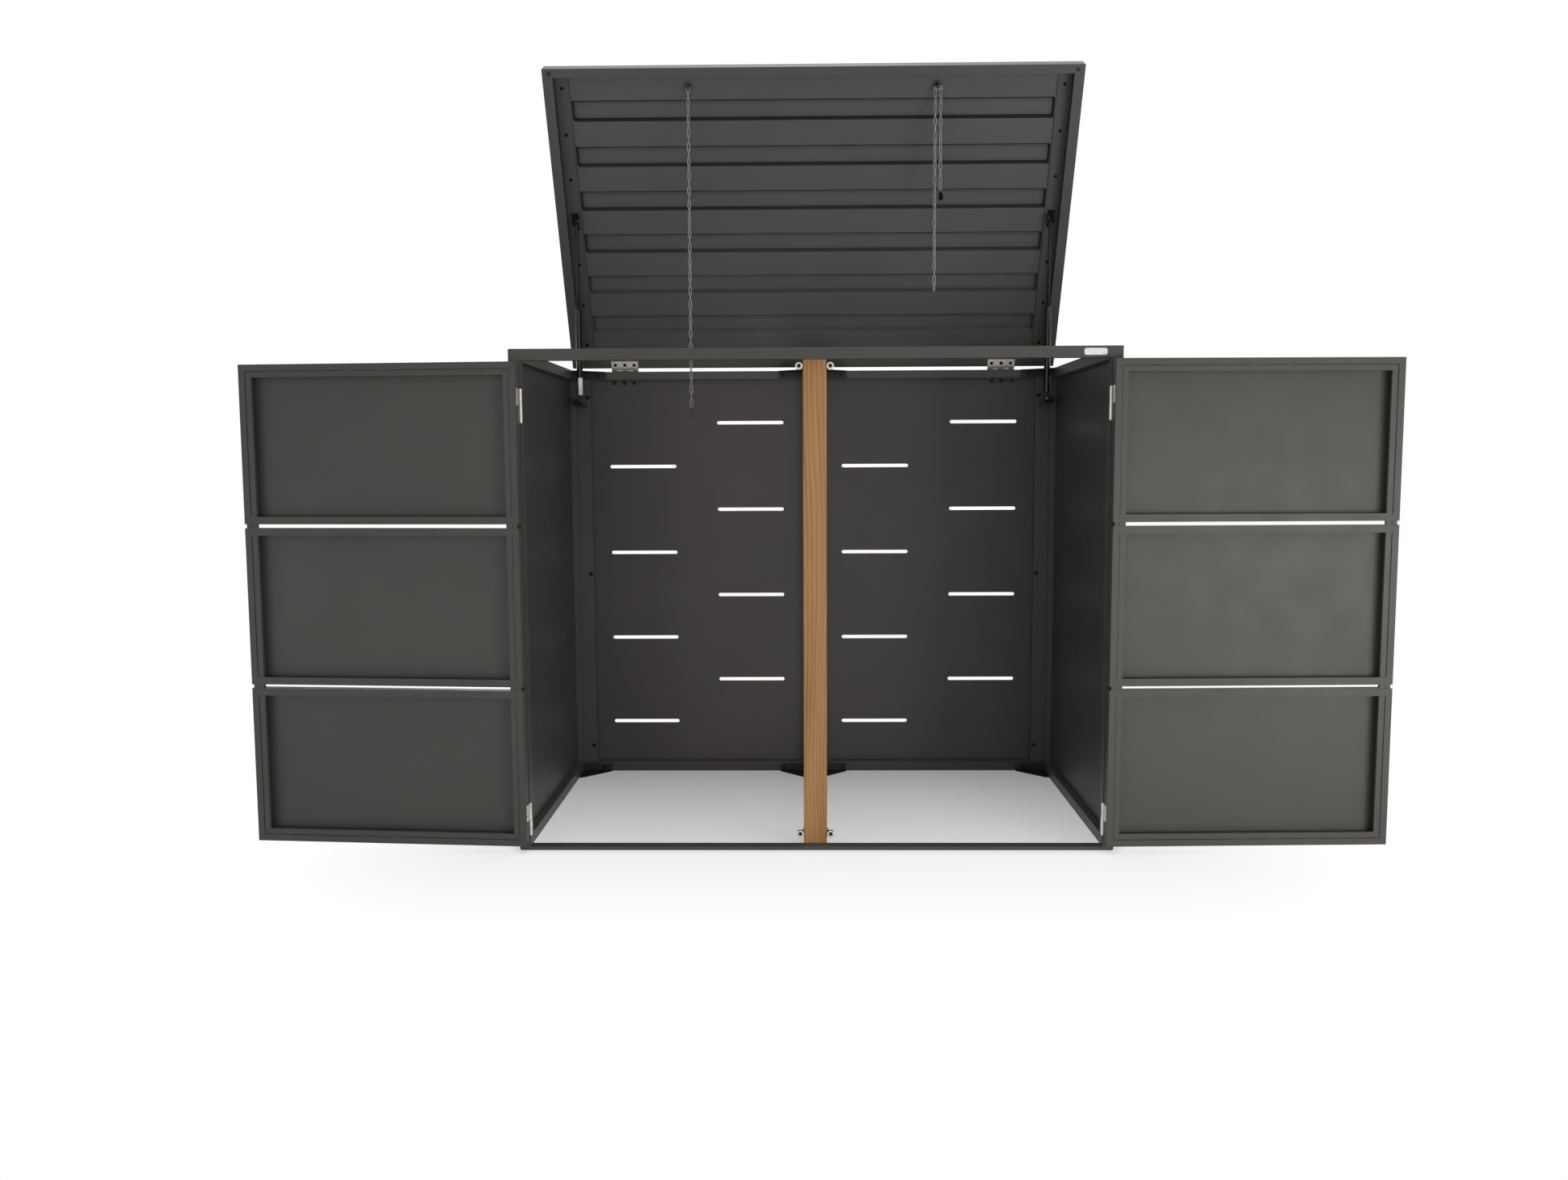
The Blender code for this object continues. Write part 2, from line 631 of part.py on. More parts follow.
def build_lid(lid):
    """The lid is modelled shut, about its hinge line, and turned open by its empty."""
    half = LID_WIDTH / 2
    outline = rounded_rectangle(-half, LID_FRONT, half, LID_BACK, LID_CORNER_RADIUS)
    window = rectangle(LID_FLANGE_SIDE - half, LID_FRONT + LID_FLANGE_FRONT,
                       half - LID_FLANGE_SIDE, LID_BACK - LID_FLANGE_BACK)
    rim = add_part("lid_frame", plate_mesh([outline, window], "XY", LID_BASE, LID_BASE + LID_RIM_HEIGHT),
                   "coated_steel", lid)
    inner = rounded_rectangle(LID_SHEET - half, LID_FRONT + LID_SHEET, half - LID_SHEET, LID_BACK - LID_SHEET,
                              LID_CORNER_RADIUS - LID_SHEET)
    cut(rim, plate_mesh([inner], "XY", LID_BASE + LID_SHEET, LID_BASE + 2 * LID_RIM_HEIGHT))
    panel = add_part("lid_panel", lid_panel_mesh(), "coated_sheet", lid)
    shell = panel.modifiers.new("Sheet", "SOLIDIFY")
    shell.thickness = LID_SHEET
    shell.offset = 1.0
    shell.use_even_offset = True
    apply_shape(panel, plate_mesh([outline], "XY", LID_BASE, LID_BASE + 3 * LID_RIM_HEIGHT), "INTERSECT")
    for side_name, side in (("left", -1), ("right", 1)):
        ends = sorted((side * STRIP_EDGE, side * (STRIP_EDGE - STRIP_WIDTH)))
        strip = box_mesh((ends[0], LID_FRONT + STRIP_END, LID_SHEET_BASE - GAP - STRIP_THICKNESS),
                         (ends[1], LID_BACK - STRIP_END, LID_SHEET_BASE - GAP))
        add_part(f"lid_side_strip_{side_name}", strip, "coated_steel", lid)


def lid_panel_mesh():
    """An open grid whose lines follow the ribs, raised over each rib."""
    edge = LID_WIDTH / 2 + LID_SHEET
    base = LID_WIDTH / 2 - RIB_SIDE_MARGIN
    columns = [-edge, -base, RIB_END_SLOPE - base, base - RIB_END_SLOPE, base, edge]
    rows = [LID_FRONT - LID_SHEET]
    for rib in reversed(range(RIB_COUNT)):
        middle = LID_BACK - RIB_BACK_MARGIN - rib * RIB_PITCH
        front = middle - RIB_WIDTH / 2
        back = middle + RIB_WIDTH / 2
        rows += [front, front + RIB_FRONT_SLOPE, back - RIB_BACK_SLOPE, back]
    rows.append(LID_BACK + LID_SHEET)
    bm = bmesh.new()
    bmesh.ops.create_grid(bm, x_segments=len(columns) - 1, y_segments=len(rows) - 1, size=1.0)
    bm.verts.ensure_lookup_table()
    for vert in bm.verts:
        column = round((vert.co.x + 1.0) / 2.0 * (len(columns) - 1))
        row = round((vert.co.y + 1.0) / 2.0 * (len(rows) - 1))
        on_rib = column in (2, 3) and row % 4 in (2, 3)
        vert.co = (columns[column], rows[row], LID_SHEET_BASE + (RIB_RISE if on_rib else 0.0))
    mesh = bpy.data.meshes.new("lid_panel")
    bm.to_mesh(mesh)
    bm.free()
    return mesh


def knuckle_spans(middle):
    """Start and end of each knuckle along a hinge, with its running clearance."""
    length = LID_HINGE_WIDTH / KNUCKLE_COUNT
    start = middle - LID_HINGE_WIDTH / 2
    return [(start + i * length + KNUCKLE_CLEARANCE / 2, start + (i + 1) * length - KNUCKLE_CLEARANCE / 2)
            for i in range(KNUCKLE_COUNT)]


def leaf_meshes(middle, spans, plane, low, high, reach, hole_row):
    """A flat leaf with screw holes and the tongues that run to its own knuckles."""
    half = LID_HINGE_WIDTH / 2
    root = KNUCKLE_RADIUS + KNUCKLE_CLEARANCE
    away = math.copysign(1.0, reach)
    outline = rectangle(middle - half, away * root, middle + half, reach)
    holes = [circle((middle + i * SCREW_HOLE_PITCH, hole_row), SCREW_HOLE_RADIUS, 10) for i in (-1, 0, 1)]
    leaf = plate_mesh([outline, *holes], plane, low, high)
    tongues = [plate_mesh([rectangle(a, 0.0, b, away * (root + LEAF_THICKNESS))], plane, low, high)
               for a, b in spans]
    return leaf, joined(*tongues)


def build_lid_hinges(hinge_line, lid):
    """Butt hinges: the lower leaf is bolted behind the back wall and holds the pin."""
    low, high = KNUCKLE_RADIUS - LEAF_THICKNESS, KNUCKLE_RADIUS
    for side_name, side in (("left", -1), ("right", 1)):
        middle = side * LID_HINGE_X
        spans = knuckle_spans(middle)
        lower_spans, upper_spans = spans[1::2], spans[0::2]
        leaf, tongues = leaf_meshes(middle, lower_spans, "XZ", low, high, -LID_LOWER_LEAF_LENGTH,
                                    -LOWER_HOLE_DROP)
        lower = add_part(f"lid_hinge_lower_{side_name}", leaf, "zinc", hinge_line)
        join(lower, tongues)
        join(lower, joined(*[cylinder_mesh((a, 0, 0), (1, 0, 0), b - a, KNUCKLE_RADIUS)
                             for a, b in lower_spans]))
        join(lower, cylinder_mesh((spans[0][0], 0, 0), (1, 0, 0), spans[-1][1] - spans[0][0],
                                  LID_PIN_RADIUS, 8))
        leaf, tongues = leaf_meshes(middle, upper_spans, "XY", -high, -low, -LID_LEAF_LENGTH,
                                    -UPPER_HOLE_REACH)
        upper = add_part(f"lid_hinge_upper_{side_name}", leaf, "zinc", lid)
        join(upper, tongues)
        join(upper, joined(*[cylinder_mesh((a, 0, 0), (1, 0, 0), b - a, KNUCKLE_RADIUS)
                             for a, b in upper_spans]))
        cut(upper, cylinder_mesh((middle - LID_HINGE_WIDTH, 0, 0), (1, 0, 0), 2 * LID_HINGE_WIDTH,
                                 LID_PIN_RADIUS + LID_BORE_CLEARANCE, 8))


# Doors

def door_ring(side, pin_to_edge):
    """The door's inner frame: a ring of channel that is open towards the front sheets."""
    near = pin_to_edge
    front = STILE_FRONT
    back = front + STILE_DEPTH
    low = DOOR_BASE + DOOR_SHEET + GAP
    high = DOOR_TOP - DOOR_SHEET - GAP
    outer = rectangle(near + STILE_INSET, low, near + DOOR_WIDTH - STILE_INSET, high)
    window = rectangle(near + STILE_EDGE, DOOR_BASE + STILE_EDGE, near + DOOR_WIDTH - STILE_EDGE,
                       DOOR_TOP - STILE_EDGE)
    wall = CHANNEL_WALL
    inner_outer = rectangle(near + STILE_INSET + wall, low + wall,
                            near + DOOR_WIDTH - STILE_INSET - wall, high - wall)
    inner_window = rectangle(near + STILE_EDGE - wall, DOOR_BASE + STILE_EDGE - wall,
                             near + DOOR_WIDTH - STILE_EDGE + wall, DOOR_TOP - STILE_EDGE + wall)
    ring = plate_mesh([outer, window], "XZ", front, back)
    groove = plate_mesh([inner_outer, inner_window], "XZ", front - wall, back - wall)
    return [mirrored(mesh) if side > 0 else mesh for mesh in (ring, groove)]


def cassette_meshes(side, pin_to_edge, index):
    """A tray of sheet with flanges turned in at the back, notched where the stiles pass."""
    near = pin_to_edge
    far = near + DOOR_WIDTH
    low = DOOR_BASE + index * (CASSETTE_HEIGHT + CASSETTE_GAP)
    high = low + CASSETTE_HEIGHT
    sheet = DOOR_SHEET
    low_flange = CASSETTE_EDGE_FLANGE if index == 0 else CASSETTE_GAP_FLANGE
    high_flange = CASSETTE_EDGE_FLANGE if index == CASSETTE_COUNT - 1 else CASSETTE_GAP_FLANGE
    tray = box_mesh((near, 0.0, low), (far, DOOR_THICKNESS, high))
    hollow = box_mesh((near + sheet, sheet, low + sheet), (far - sheet, DOOR_THICKNESS - sheet, high - sheet))
    mouth = box_mesh((near + CASSETTE_EDGE_FLANGE, DOOR_THICKNESS / 2, low + low_flange),
                     (far - CASSETTE_EDGE_FLANGE, DOOR_THICKNESS * 2, high - high_flange))
    notches = []
    ends = [level for level, wall_at_gap in ((low, index > 0), (high, index < CASSETTE_COUNT - 1))
            if wall_at_gap]
    for level in ends:
        for start in (near + STILE_INSET, far - STILE_EDGE):
            notches.append(box_mesh((start - GAP, STILE_FRONT - GAP, level - 2 * sheet),
                                    (start + STILE_EDGE - STILE_INSET + GAP, DOOR_THICKNESS - sheet,
                                     level + 2 * sheet)))
    meshes = (tray, hollow, mouth, joined(*notches))
    return [mirrored(mesh) if side > 0 else mesh for mesh in meshes]


def build_door(side_name, side, swing):
    """A door is modelled shut, about its hinge pin, with its free edge towards the middle."""
    pin_to_edge = DOOR_PIN_X - DOOR_EDGE
    ring, groove = door_ring(side, pin_to_edge)
    shift = Matrix.Translation((0.0, DOOR_PIN_OFFSET, 0.0))
    ring.transform(shift)
    groove.transform(shift)
    cut(add_part(f"door_frame_{side_name}", ring, "coated_steel", swing), groove)
    for index, level_name in enumerate(("bottom", "middle", "top")[:CASSETTE_COUNT]):
        meshes = cassette_meshes(side, pin_to_edge, index)
        for mesh in meshes:
            mesh.transform(shift)
        tray, hollow, mouth, notches = meshes
        part = add_part(f"door_panel_{level_name}_{side_name}", tray, "coated_sheet", swing)
        cut(part, hollow)
        cut(part, mouth)
        cut(part, notches)


def build_door_hinges(side_name, side, swing, post):
    """Lift-off hinges: the lower half is welded to the post and holds the pin."""
    half = DOOR_HINGE_LENGTH / 2 - DOOR_HINGE_SPLIT_GAP / 2
    leaf_half = DOOR_LEAF_THICKNESS / 2
    leaf_end = DOOR_PIN_OFFSET + DOOR_LEAF_DEPTH
    for level_name, middle in zip(("top", "bottom"), DOOR_HINGE_Z):
        low = middle - DOOR_HINGE_LENGTH / 2
        split = middle + DOOR_HINGE_SPLIT_GAP / 2
        lower = add_part(f"door_hinge_lower_{level_name}_{side_name}",
                         cylinder_mesh((0, 0, low), (0, 0, 1), half, DOOR_BARREL_RADIUS), "zinc", post)
        join(lower, box_mesh((-leaf_half, 0, low), (leaf_half, DOOR_PIN_OFFSET + DOOR_POST_LEAF_DEPTH, low + half)))
        join(lower, cylinder_mesh((0, 0, middle - half / 2), (0, 0, 1), half / 2 + DOOR_PIN_HEIGHT,
                                  DOOR_PIN_RADIUS, 8))
        upper = add_part(f"door_hinge_upper_{level_name}_{side_name}",
                         cylinder_mesh((0, 0, split), (0, 0, 1), half, DOOR_BARREL_RADIUS), "zinc", swing)
        join(upper, box_mesh((-leaf_half, 0, split), (leaf_half, leaf_end, split + half)))
        cut(upper, cylinder_mesh((0, 0, split - half / 2), (0, 0, 1),
                                 half / 2 + DOOR_PIN_HEIGHT + DOOR_BORE_CLEARANCE,
                                 DOOR_PIN_RADIUS + DOOR_BORE_CLEARANCE, 8))


# Gas struts

def lid_point(x, reach, height):
    """A point of the raised lid, from its place on the shut lid."""
    y = LID_BACK - reach
    z = LID_BASE + height
    c, s = math.cos(LID_ANGLE), math.sin(LID_ANGLE)
    return Vector((x, LID_PIVOT_Y + y * c + z * s, LID_PIVOT_Z - y * s + z * c))


def turned_mesh(profile, sides=ROUND_SIDES):
    """A profile revolved about Z by a Screw modifier, and read back as a mesh."""
    mesh = bpy.data.meshes.new("profile")
    bm = bmesh.new()
    verts = [bm.verts.new((x, 0.0, z)) for x, z in profile]
    for a, b in zip(verts, verts[1:]):
        bm.edges.new((a, b))
    bm.to_mesh(mesh)
    bm.free()
    guide = bpy.data.objects.new("guide", mesh)
    CUTTERS.objects.link(guide)
    turn = guide.modifiers.new("Turn", "SCREW")
    turn.steps = sides
    turn.render_steps = sides
    turn.use_merge_vertices = True
    turn.merge_threshold = 0.00001
    bpy.context.view_layer.update()
    result = bpy.data.meshes.new_from_object(guide.evaluated_get(bpy.context.evaluated_depsgraph_get()))
    bm = bmesh.new()
    bm.from_mesh(result)
    bmesh.ops.remove_doubles(bm, verts=bm.verts, dist=0.00001)
    bmesh.ops.recalc_face_normals(bm, faces=bm.faces)
    bm.to_mesh(result)
    bm.free()
    bpy.data.objects.remove(guide, do_unlink=True)
    bpy.data.meshes.remove(mesh)
    return result


def strut_tube_mesh():
    """The strut's cylinder with its neck and the bore that the rod slides in."""
    bore = STRUT_ROD_RADIUS + STRUT_BORE_CLEARANCE
    top = STRUT_TUBE_LENGTH
    shoulder = STRUT_EYE_RADIUS * 0.6 + STRUT_NECK_LENGTH
    crown = STRUT_TUBE_RADIUS * 0.25
    return turned_mesh([(0.0, top - STRUT_BORE_DEPTH), (bore, top - STRUT_BORE_DEPTH), (bore, top),
                        (STRUT_TUBE_RADIUS - crown, top), (STRUT_TUBE_RADIUS, top - crown),
                        (STRUT_TUBE_RADIUS, shoulder + crown), (STRUT_TUBE_RADIUS - crown, shoulder),
                        (STRUT_NECK_RADIUS, shoulder), (STRUT_NECK_RADIUS, STRUT_EYE_RADIUS * 0.6),
                        (0.0, STRUT_EYE_RADIUS * 0.6)])


def build_strut(side_name, side, lid):
    """The foot turns on a stud of the lower bracket, and the head lies beside the lid's ear."""
    foot = Vector((side * STRUT_FOOT_X, STRUT_FOOT_Y, STRUT_FOOT_Z))
    head = lid_point(side * STRUT_HEAD_X, STRUT_HEAD_REACH, STRUT_HEAD_HEIGHT)
    reach = head - foot
    flat = math.hypot(reach.y, reach.z)
    lean = Matrix.Rotation(math.atan2(reach.x, flat), 4, "Y")
    empty = pivot(f"strut_pivot_{side_name}", foot, "X", math.atan2(-reach.y, reach.z))
    half = STRUT_EYE_THICKNESS / 2

    body = strut_tube_mesh()
    body.transform(lean)
    tube = add_part(f"strut_cylinder_{side_name}", body, "black_paint", empty, smooth=True)
    join(tube, cylinder_mesh((-half, 0, 0), (1, 0, 0), STRUT_EYE_THICKNESS, STRUT_EYE_RADIUS))
    cut(tube, cylinder_mesh((-2 * half, 0, 0), (1, 0, 0), 2 * STRUT_EYE_THICKNESS,
                            STRUT_STUD_RADIUS + STRUT_STUD_CLEARANCE))

    start = STRUT_TUBE_LENGTH - STRUT_ROD_INSERTED
    length = reach.length - STRUT_EYE_RADIUS * 0.6 - start
    bar = cylinder_mesh((0, 0, start), (0, 0, 1), length, STRUT_ROD_RADIUS)
    bar.transform(lean)
    rod = add_part(f"strut_rod_{side_name}", bar, "polished_rod", empty, smooth=True)
    join(rod, cylinder_mesh((reach.x - half, 0, flat), (1, 0, 0), STRUT_EYE_THICKNESS, STRUT_EYE_RADIUS))

    build_strut_foot(side_name, side, foot)
    build_strut_ear(side_name, side, lid)


def build_strut_foot(side_name, side, foot):
    """An arm fixed to the back post's inner face, with a boss and stud for the strut's eye."""
    face = SIDE_INNER - GAP
    inner = face - BRACKET_PLATE
    ends = sorted((side * face, side * inner))
    half = BRACKET_ARM_HEIGHT / 2
    arm = box_mesh((ends[0], foot.y - half, foot.z - half), (ends[1], RAIL_FACE - 2 * GAP, foot.z + half))
    part = add_part(f"strut_bracket_lower_{side_name}", arm, "black_paint")
    ends = sorted((side * (face - BRACKET_PLATE / 2), side * (face - BRACKET_SHELF_WIDTH)))
    join(part, box_mesh((ends[0], foot.y - half - BRACKET_PLATE, foot.z - half - BRACKET_PLATE),
                        (ends[1], RAIL_FACE - 4 * GAP, foot.z - half + BRACKET_PLATE / 2)))
    eye_face = STRUT_FOOT_X + STRUT_EYE_THICKNESS / 2
    boss_length = inner - eye_face - GAP + BRACKET_PLATE / 2
    start = (side * (inner + BRACKET_PLATE / 2), foot.y, foot.z)
    join(part, cylinder_mesh(start, (-side, 0, 0), boss_length, BRACKET_BOSS_RADIUS))
    join(part, cylinder_mesh(start, (-side, 0, 0), boss_length + STRUT_EYE_THICKNESS, STRUT_STUD_RADIUS))


def build_strut_ear(side_name, side, lid):
    """A foot plate under the lid's side strip with an ear that hangs beside the rod's eye."""
    y = LID_BACK - STRUT_HEAD_REACH
    centre = LID_BASE + STRUT_HEAD_HEIGHT
    top = LID_SHEET_BASE - GAP - STRIP_THICKNESS - GAP
    eye_side = STRUT_HEAD_X - STRUT_EYE_THICKNESS / 2 - GAP
    ends = sorted((side * eye_side, side * (eye_side - BRACKET_PLATE)))
    ear = plate_mesh([[(y - EAR_LENGTH / 2, top), (y - EAR_LENGTH / 2, centre)]
                      + arc((y, centre), EAR_LENGTH / 2, math.pi, 2 * math.pi)[1:-1]
                      + [(y + EAR_LENGTH / 2, centre), (y + EAR_LENGTH / 2, top)]], "YZ", *ends)
    part = add_part(f"strut_bracket_upper_{side_name}", ear, "black_paint", lid)
    ends = sorted((side * (eye_side - BRACKET_PLATE / 2), side * (eye_side + EAR_LENGTH)))
    join(part, box_mesh((ends[0], y - EAR_LENGTH, top - BRACKET_PLATE), (ends[1], y + EAR_LENGTH, top)))


# Chains

def build_chain_eye(side_name, side, lid):
    """A ring on a screwed foot under the lid, in a plane square to the hinge line."""
    y = LID_BACK - CHAIN_REACH
    x = side * CHAIN_X
    centre = LID_BASE + EYE_CENTRE_HEIGHT
    top = LID_SHEET_BASE - GAP
    points = [(x, u, v) for u, v in circle((y, centre), EYE_RING_RADIUS, 16)]
    eye = add_part(f"chain_eye_{side_name}", wire_mesh(points, EYE_WIRE_RADIUS, 1), "zinc", lid)
    shank = centre + EYE_RING_RADIUS
    join(eye, cylinder_mesh((x, y, shank), (0, 0, 1), top - shank - EYE_PLATE_THICKNESS / 2,
                            EYE_WIRE_RADIUS * 1.2, 8))
    join(eye, cylinder_mesh((x, y, top - EYE_PLATE_THICKNESS), (0, 0, 1), EYE_PLATE_THICKNESS, EYE_PLATE_RADIUS))


def link_mesh(centre, along, across, length, width, wire):
    """One link: a stadium of wire about its middle, of the given inner length and outer width."""
    bend = width / 2 - wire
    straight = length / 2 + wire - bend
    points = []
    for sign in (1, -1):
        for step in range(4):
            angle = math.pi * step / 3
            u = sign * bend * math.cos(angle)
            v = sign * (straight + bend * math.sin(angle))
            points.append(Vector(centre) + u * Vector(across) + v * Vector(along))
    return wire_mesh(points, wire)


X_AXIS, Y_AXIS, Z_AXIS = (1, 0, 0), (0, 1, 0), (0, 0, 1)


def hanging_links(x, y, first_inner_top, count, first_across, hook):
    """Links that hang below each other, each turned a quarter from the last, in two sets.

    Each link's inner end bears on the next one's, so that the strand is one body.
    A strand may end in a snap hook."""
    sets = {X_AXIS: [], Y_AXIS: []}
    across = first_across
    step = LINK_PITCH - LINK_CONTACT
    for index in range(count):
        centre = (x, y, first_inner_top - LINK_PITCH / 2 - index * step)
        sets[across].append(link_mesh(centre, Z_AXIS, across, LINK_PITCH, LINK_WIDTH, LINK_WIRE_RADIUS))
        across = Y_AXIS if across == X_AXIS else X_AXIS
    if hook:
        inner_top = first_inner_top - count * step
        inner = HOOK_LENGTH - 4 * HOOK_WIRE_RADIUS
        centre = (x, y, inner_top - inner / 2)
        sets[across].append(link_mesh(centre, Z_AXIS, across, inner, HOOK_WIDTH, HOOK_WIRE_RADIUS))
    return sets


def build_chains():
    """The left chain hangs at full length; the right one is laid over its eye and hangs doubled."""
    for side_name, side in (("left", -1), ("right", 1)):
        eye = lid_point(side * CHAIN_X, CHAIN_REACH, EYE_CENTRE_HEIGHT)
        swing = pivot(f"chain_pivot_{side_name}", eye)
        bearing = -EYE_RING_RADIUS + EYE_WIRE_RADIUS + LINK_PLAY
        if side < 0:
            sets = hanging_links(0.0, 0.0, bearing, CHAIN_LINKS, X_AXIS, True)
        else:
            inner_half = LINK_WIDTH / 2 - 2 * LINK_WIRE_RADIUS
            saddle = (0.0, 0.0, bearing - inner_half)
            over = link_mesh(saddle, X_AXIS, Z_AXIS, LINK_PITCH, LINK_WIDTH, LINK_WIRE_RADIUS)
            sets = {X_AXIS: [over], Y_AXIS: []}
            strand_top = bearing - 2 * inner_half + LINK_CONTACT / 2
            long_links = CHAIN_LINKS - 1 - CHAIN_SHORT_LINKS
            for x, count, hook in ((-STRAND_OFFSET, long_links, False), (STRAND_OFFSET, CHAIN_SHORT_LINKS, True)):
                strand = hanging_links(x, 0.0, strand_top, count, Y_AXIS, hook)
                for across, links in strand.items():
                    sets[across] += links
        chain = add_part(f"chain_{side_name}", joined(*sets[X_AXIS]), "zinc", swing)
        join(chain, joined(*sets[Y_AXIS]))


def build():
    build_sides()
    build_front()
    build_centre()
    build_back()
    build_gussets()
    build_magnets()
    hinge_line = pivot("lid_hinge_line", (0.0, LID_PIVOT_Y, LID_PIVOT_Z))
    lid = pivot("lid_pivot", (0.0, LID_PIVOT_Y, LID_PIVOT_Z), "X", -LID_ANGLE)
    build_lid(lid)
    build_lid_hinges(hinge_line, lid)
    for side_name, side, angle in (("left", -1, -DOOR_LEFT_ANGLE), ("right", 1, DOOR_RIGHT_ANGLE)):
        place = (side * DOOR_PIN_X, DOOR_PIN_Y, 0.0)
        swing = pivot(f"door_pivot_{side_name}", place, "Z", angle)
        post = pivot(f"door_post_{side_name}", place)
        build_door(side_name, side, swing)
        build_door_hinges(side_name, side, swing, post)
        build_strut(side_name, side, lid)
        build_chain_eye(side_name, side, lid)
    build_chains()
    bpy.context.view_layer.update()


build()
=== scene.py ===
"""Looks for the double bin store: finishes for the CAD nodes, the real chains, the small
fasteners and fittings, and a plain white studio at the photograph's viewing angle."""
import math

import bmesh
import bpy
from mathutils import Matrix, Vector


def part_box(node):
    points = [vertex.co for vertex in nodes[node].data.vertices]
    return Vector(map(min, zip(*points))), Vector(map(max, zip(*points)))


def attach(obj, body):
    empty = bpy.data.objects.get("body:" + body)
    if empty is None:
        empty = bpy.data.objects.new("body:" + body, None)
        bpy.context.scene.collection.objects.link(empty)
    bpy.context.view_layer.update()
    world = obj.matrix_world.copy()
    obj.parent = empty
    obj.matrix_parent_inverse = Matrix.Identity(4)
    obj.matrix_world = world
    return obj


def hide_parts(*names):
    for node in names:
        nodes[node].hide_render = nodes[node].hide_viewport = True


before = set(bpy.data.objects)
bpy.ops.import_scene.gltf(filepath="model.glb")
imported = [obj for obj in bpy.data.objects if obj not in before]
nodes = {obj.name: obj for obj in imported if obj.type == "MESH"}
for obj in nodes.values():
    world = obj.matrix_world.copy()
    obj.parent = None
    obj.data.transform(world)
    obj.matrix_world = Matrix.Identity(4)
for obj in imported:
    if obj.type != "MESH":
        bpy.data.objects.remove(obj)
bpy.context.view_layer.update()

# Sizes of the CAD model that pieces here are placed by
DEPTH = 0.844
FRONT = -DEPTH / 2
SHEET_INNER = DEPTH / 2 - 0.0015
RAIL_FACE = SHEET_INNER - 0.0203
GUSSET_FACE = RAIL_FACE - 0.0033
DOOR_PIN = (0.6965, FRONT - 0.0058)
DOOR_LEFT = math.radians(184.5)
DOOR_RIGHT = math.radians(181.7)
LID_ANGLE = math.radians(62.65)
LID_PIVOT = Vector((0.0, 0.4203, 1.2183))
LID_BASE = -0.0017
LID_BACK = -0.0084
CHAIN_X = 0.3335
DOOR_TOP = 1.182
DOOR_WIDTH = 0.6765
STRIP_LEVEL = LID_BASE + 0.0325
STRUT_FOOT = (0.6832, 0.328, 1.122)
STRUT_HEAD = (0.667, 0.440)

LID = Matrix.Translation(LID_PIVOT) @ Matrix.Rotation(-LID_ANGLE, 4, "X")
EYE_CENTRE = LID @ Vector((0, LID_BACK - 0.798, LID_BASE + 0.020))
DOORS = {
    "left": Matrix.Translation((-DOOR_PIN[0], DOOR_PIN[1], 0)) @ Matrix.Rotation(-DOOR_LEFT, 4, "Z"),
    "right": Matrix.Translation((DOOR_PIN[0], DOOR_PIN[1], 0)) @ Matrix.Rotation(DOOR_RIGHT, 4, "Z"),
}
WORLD = Matrix.Identity(4)


# Materials

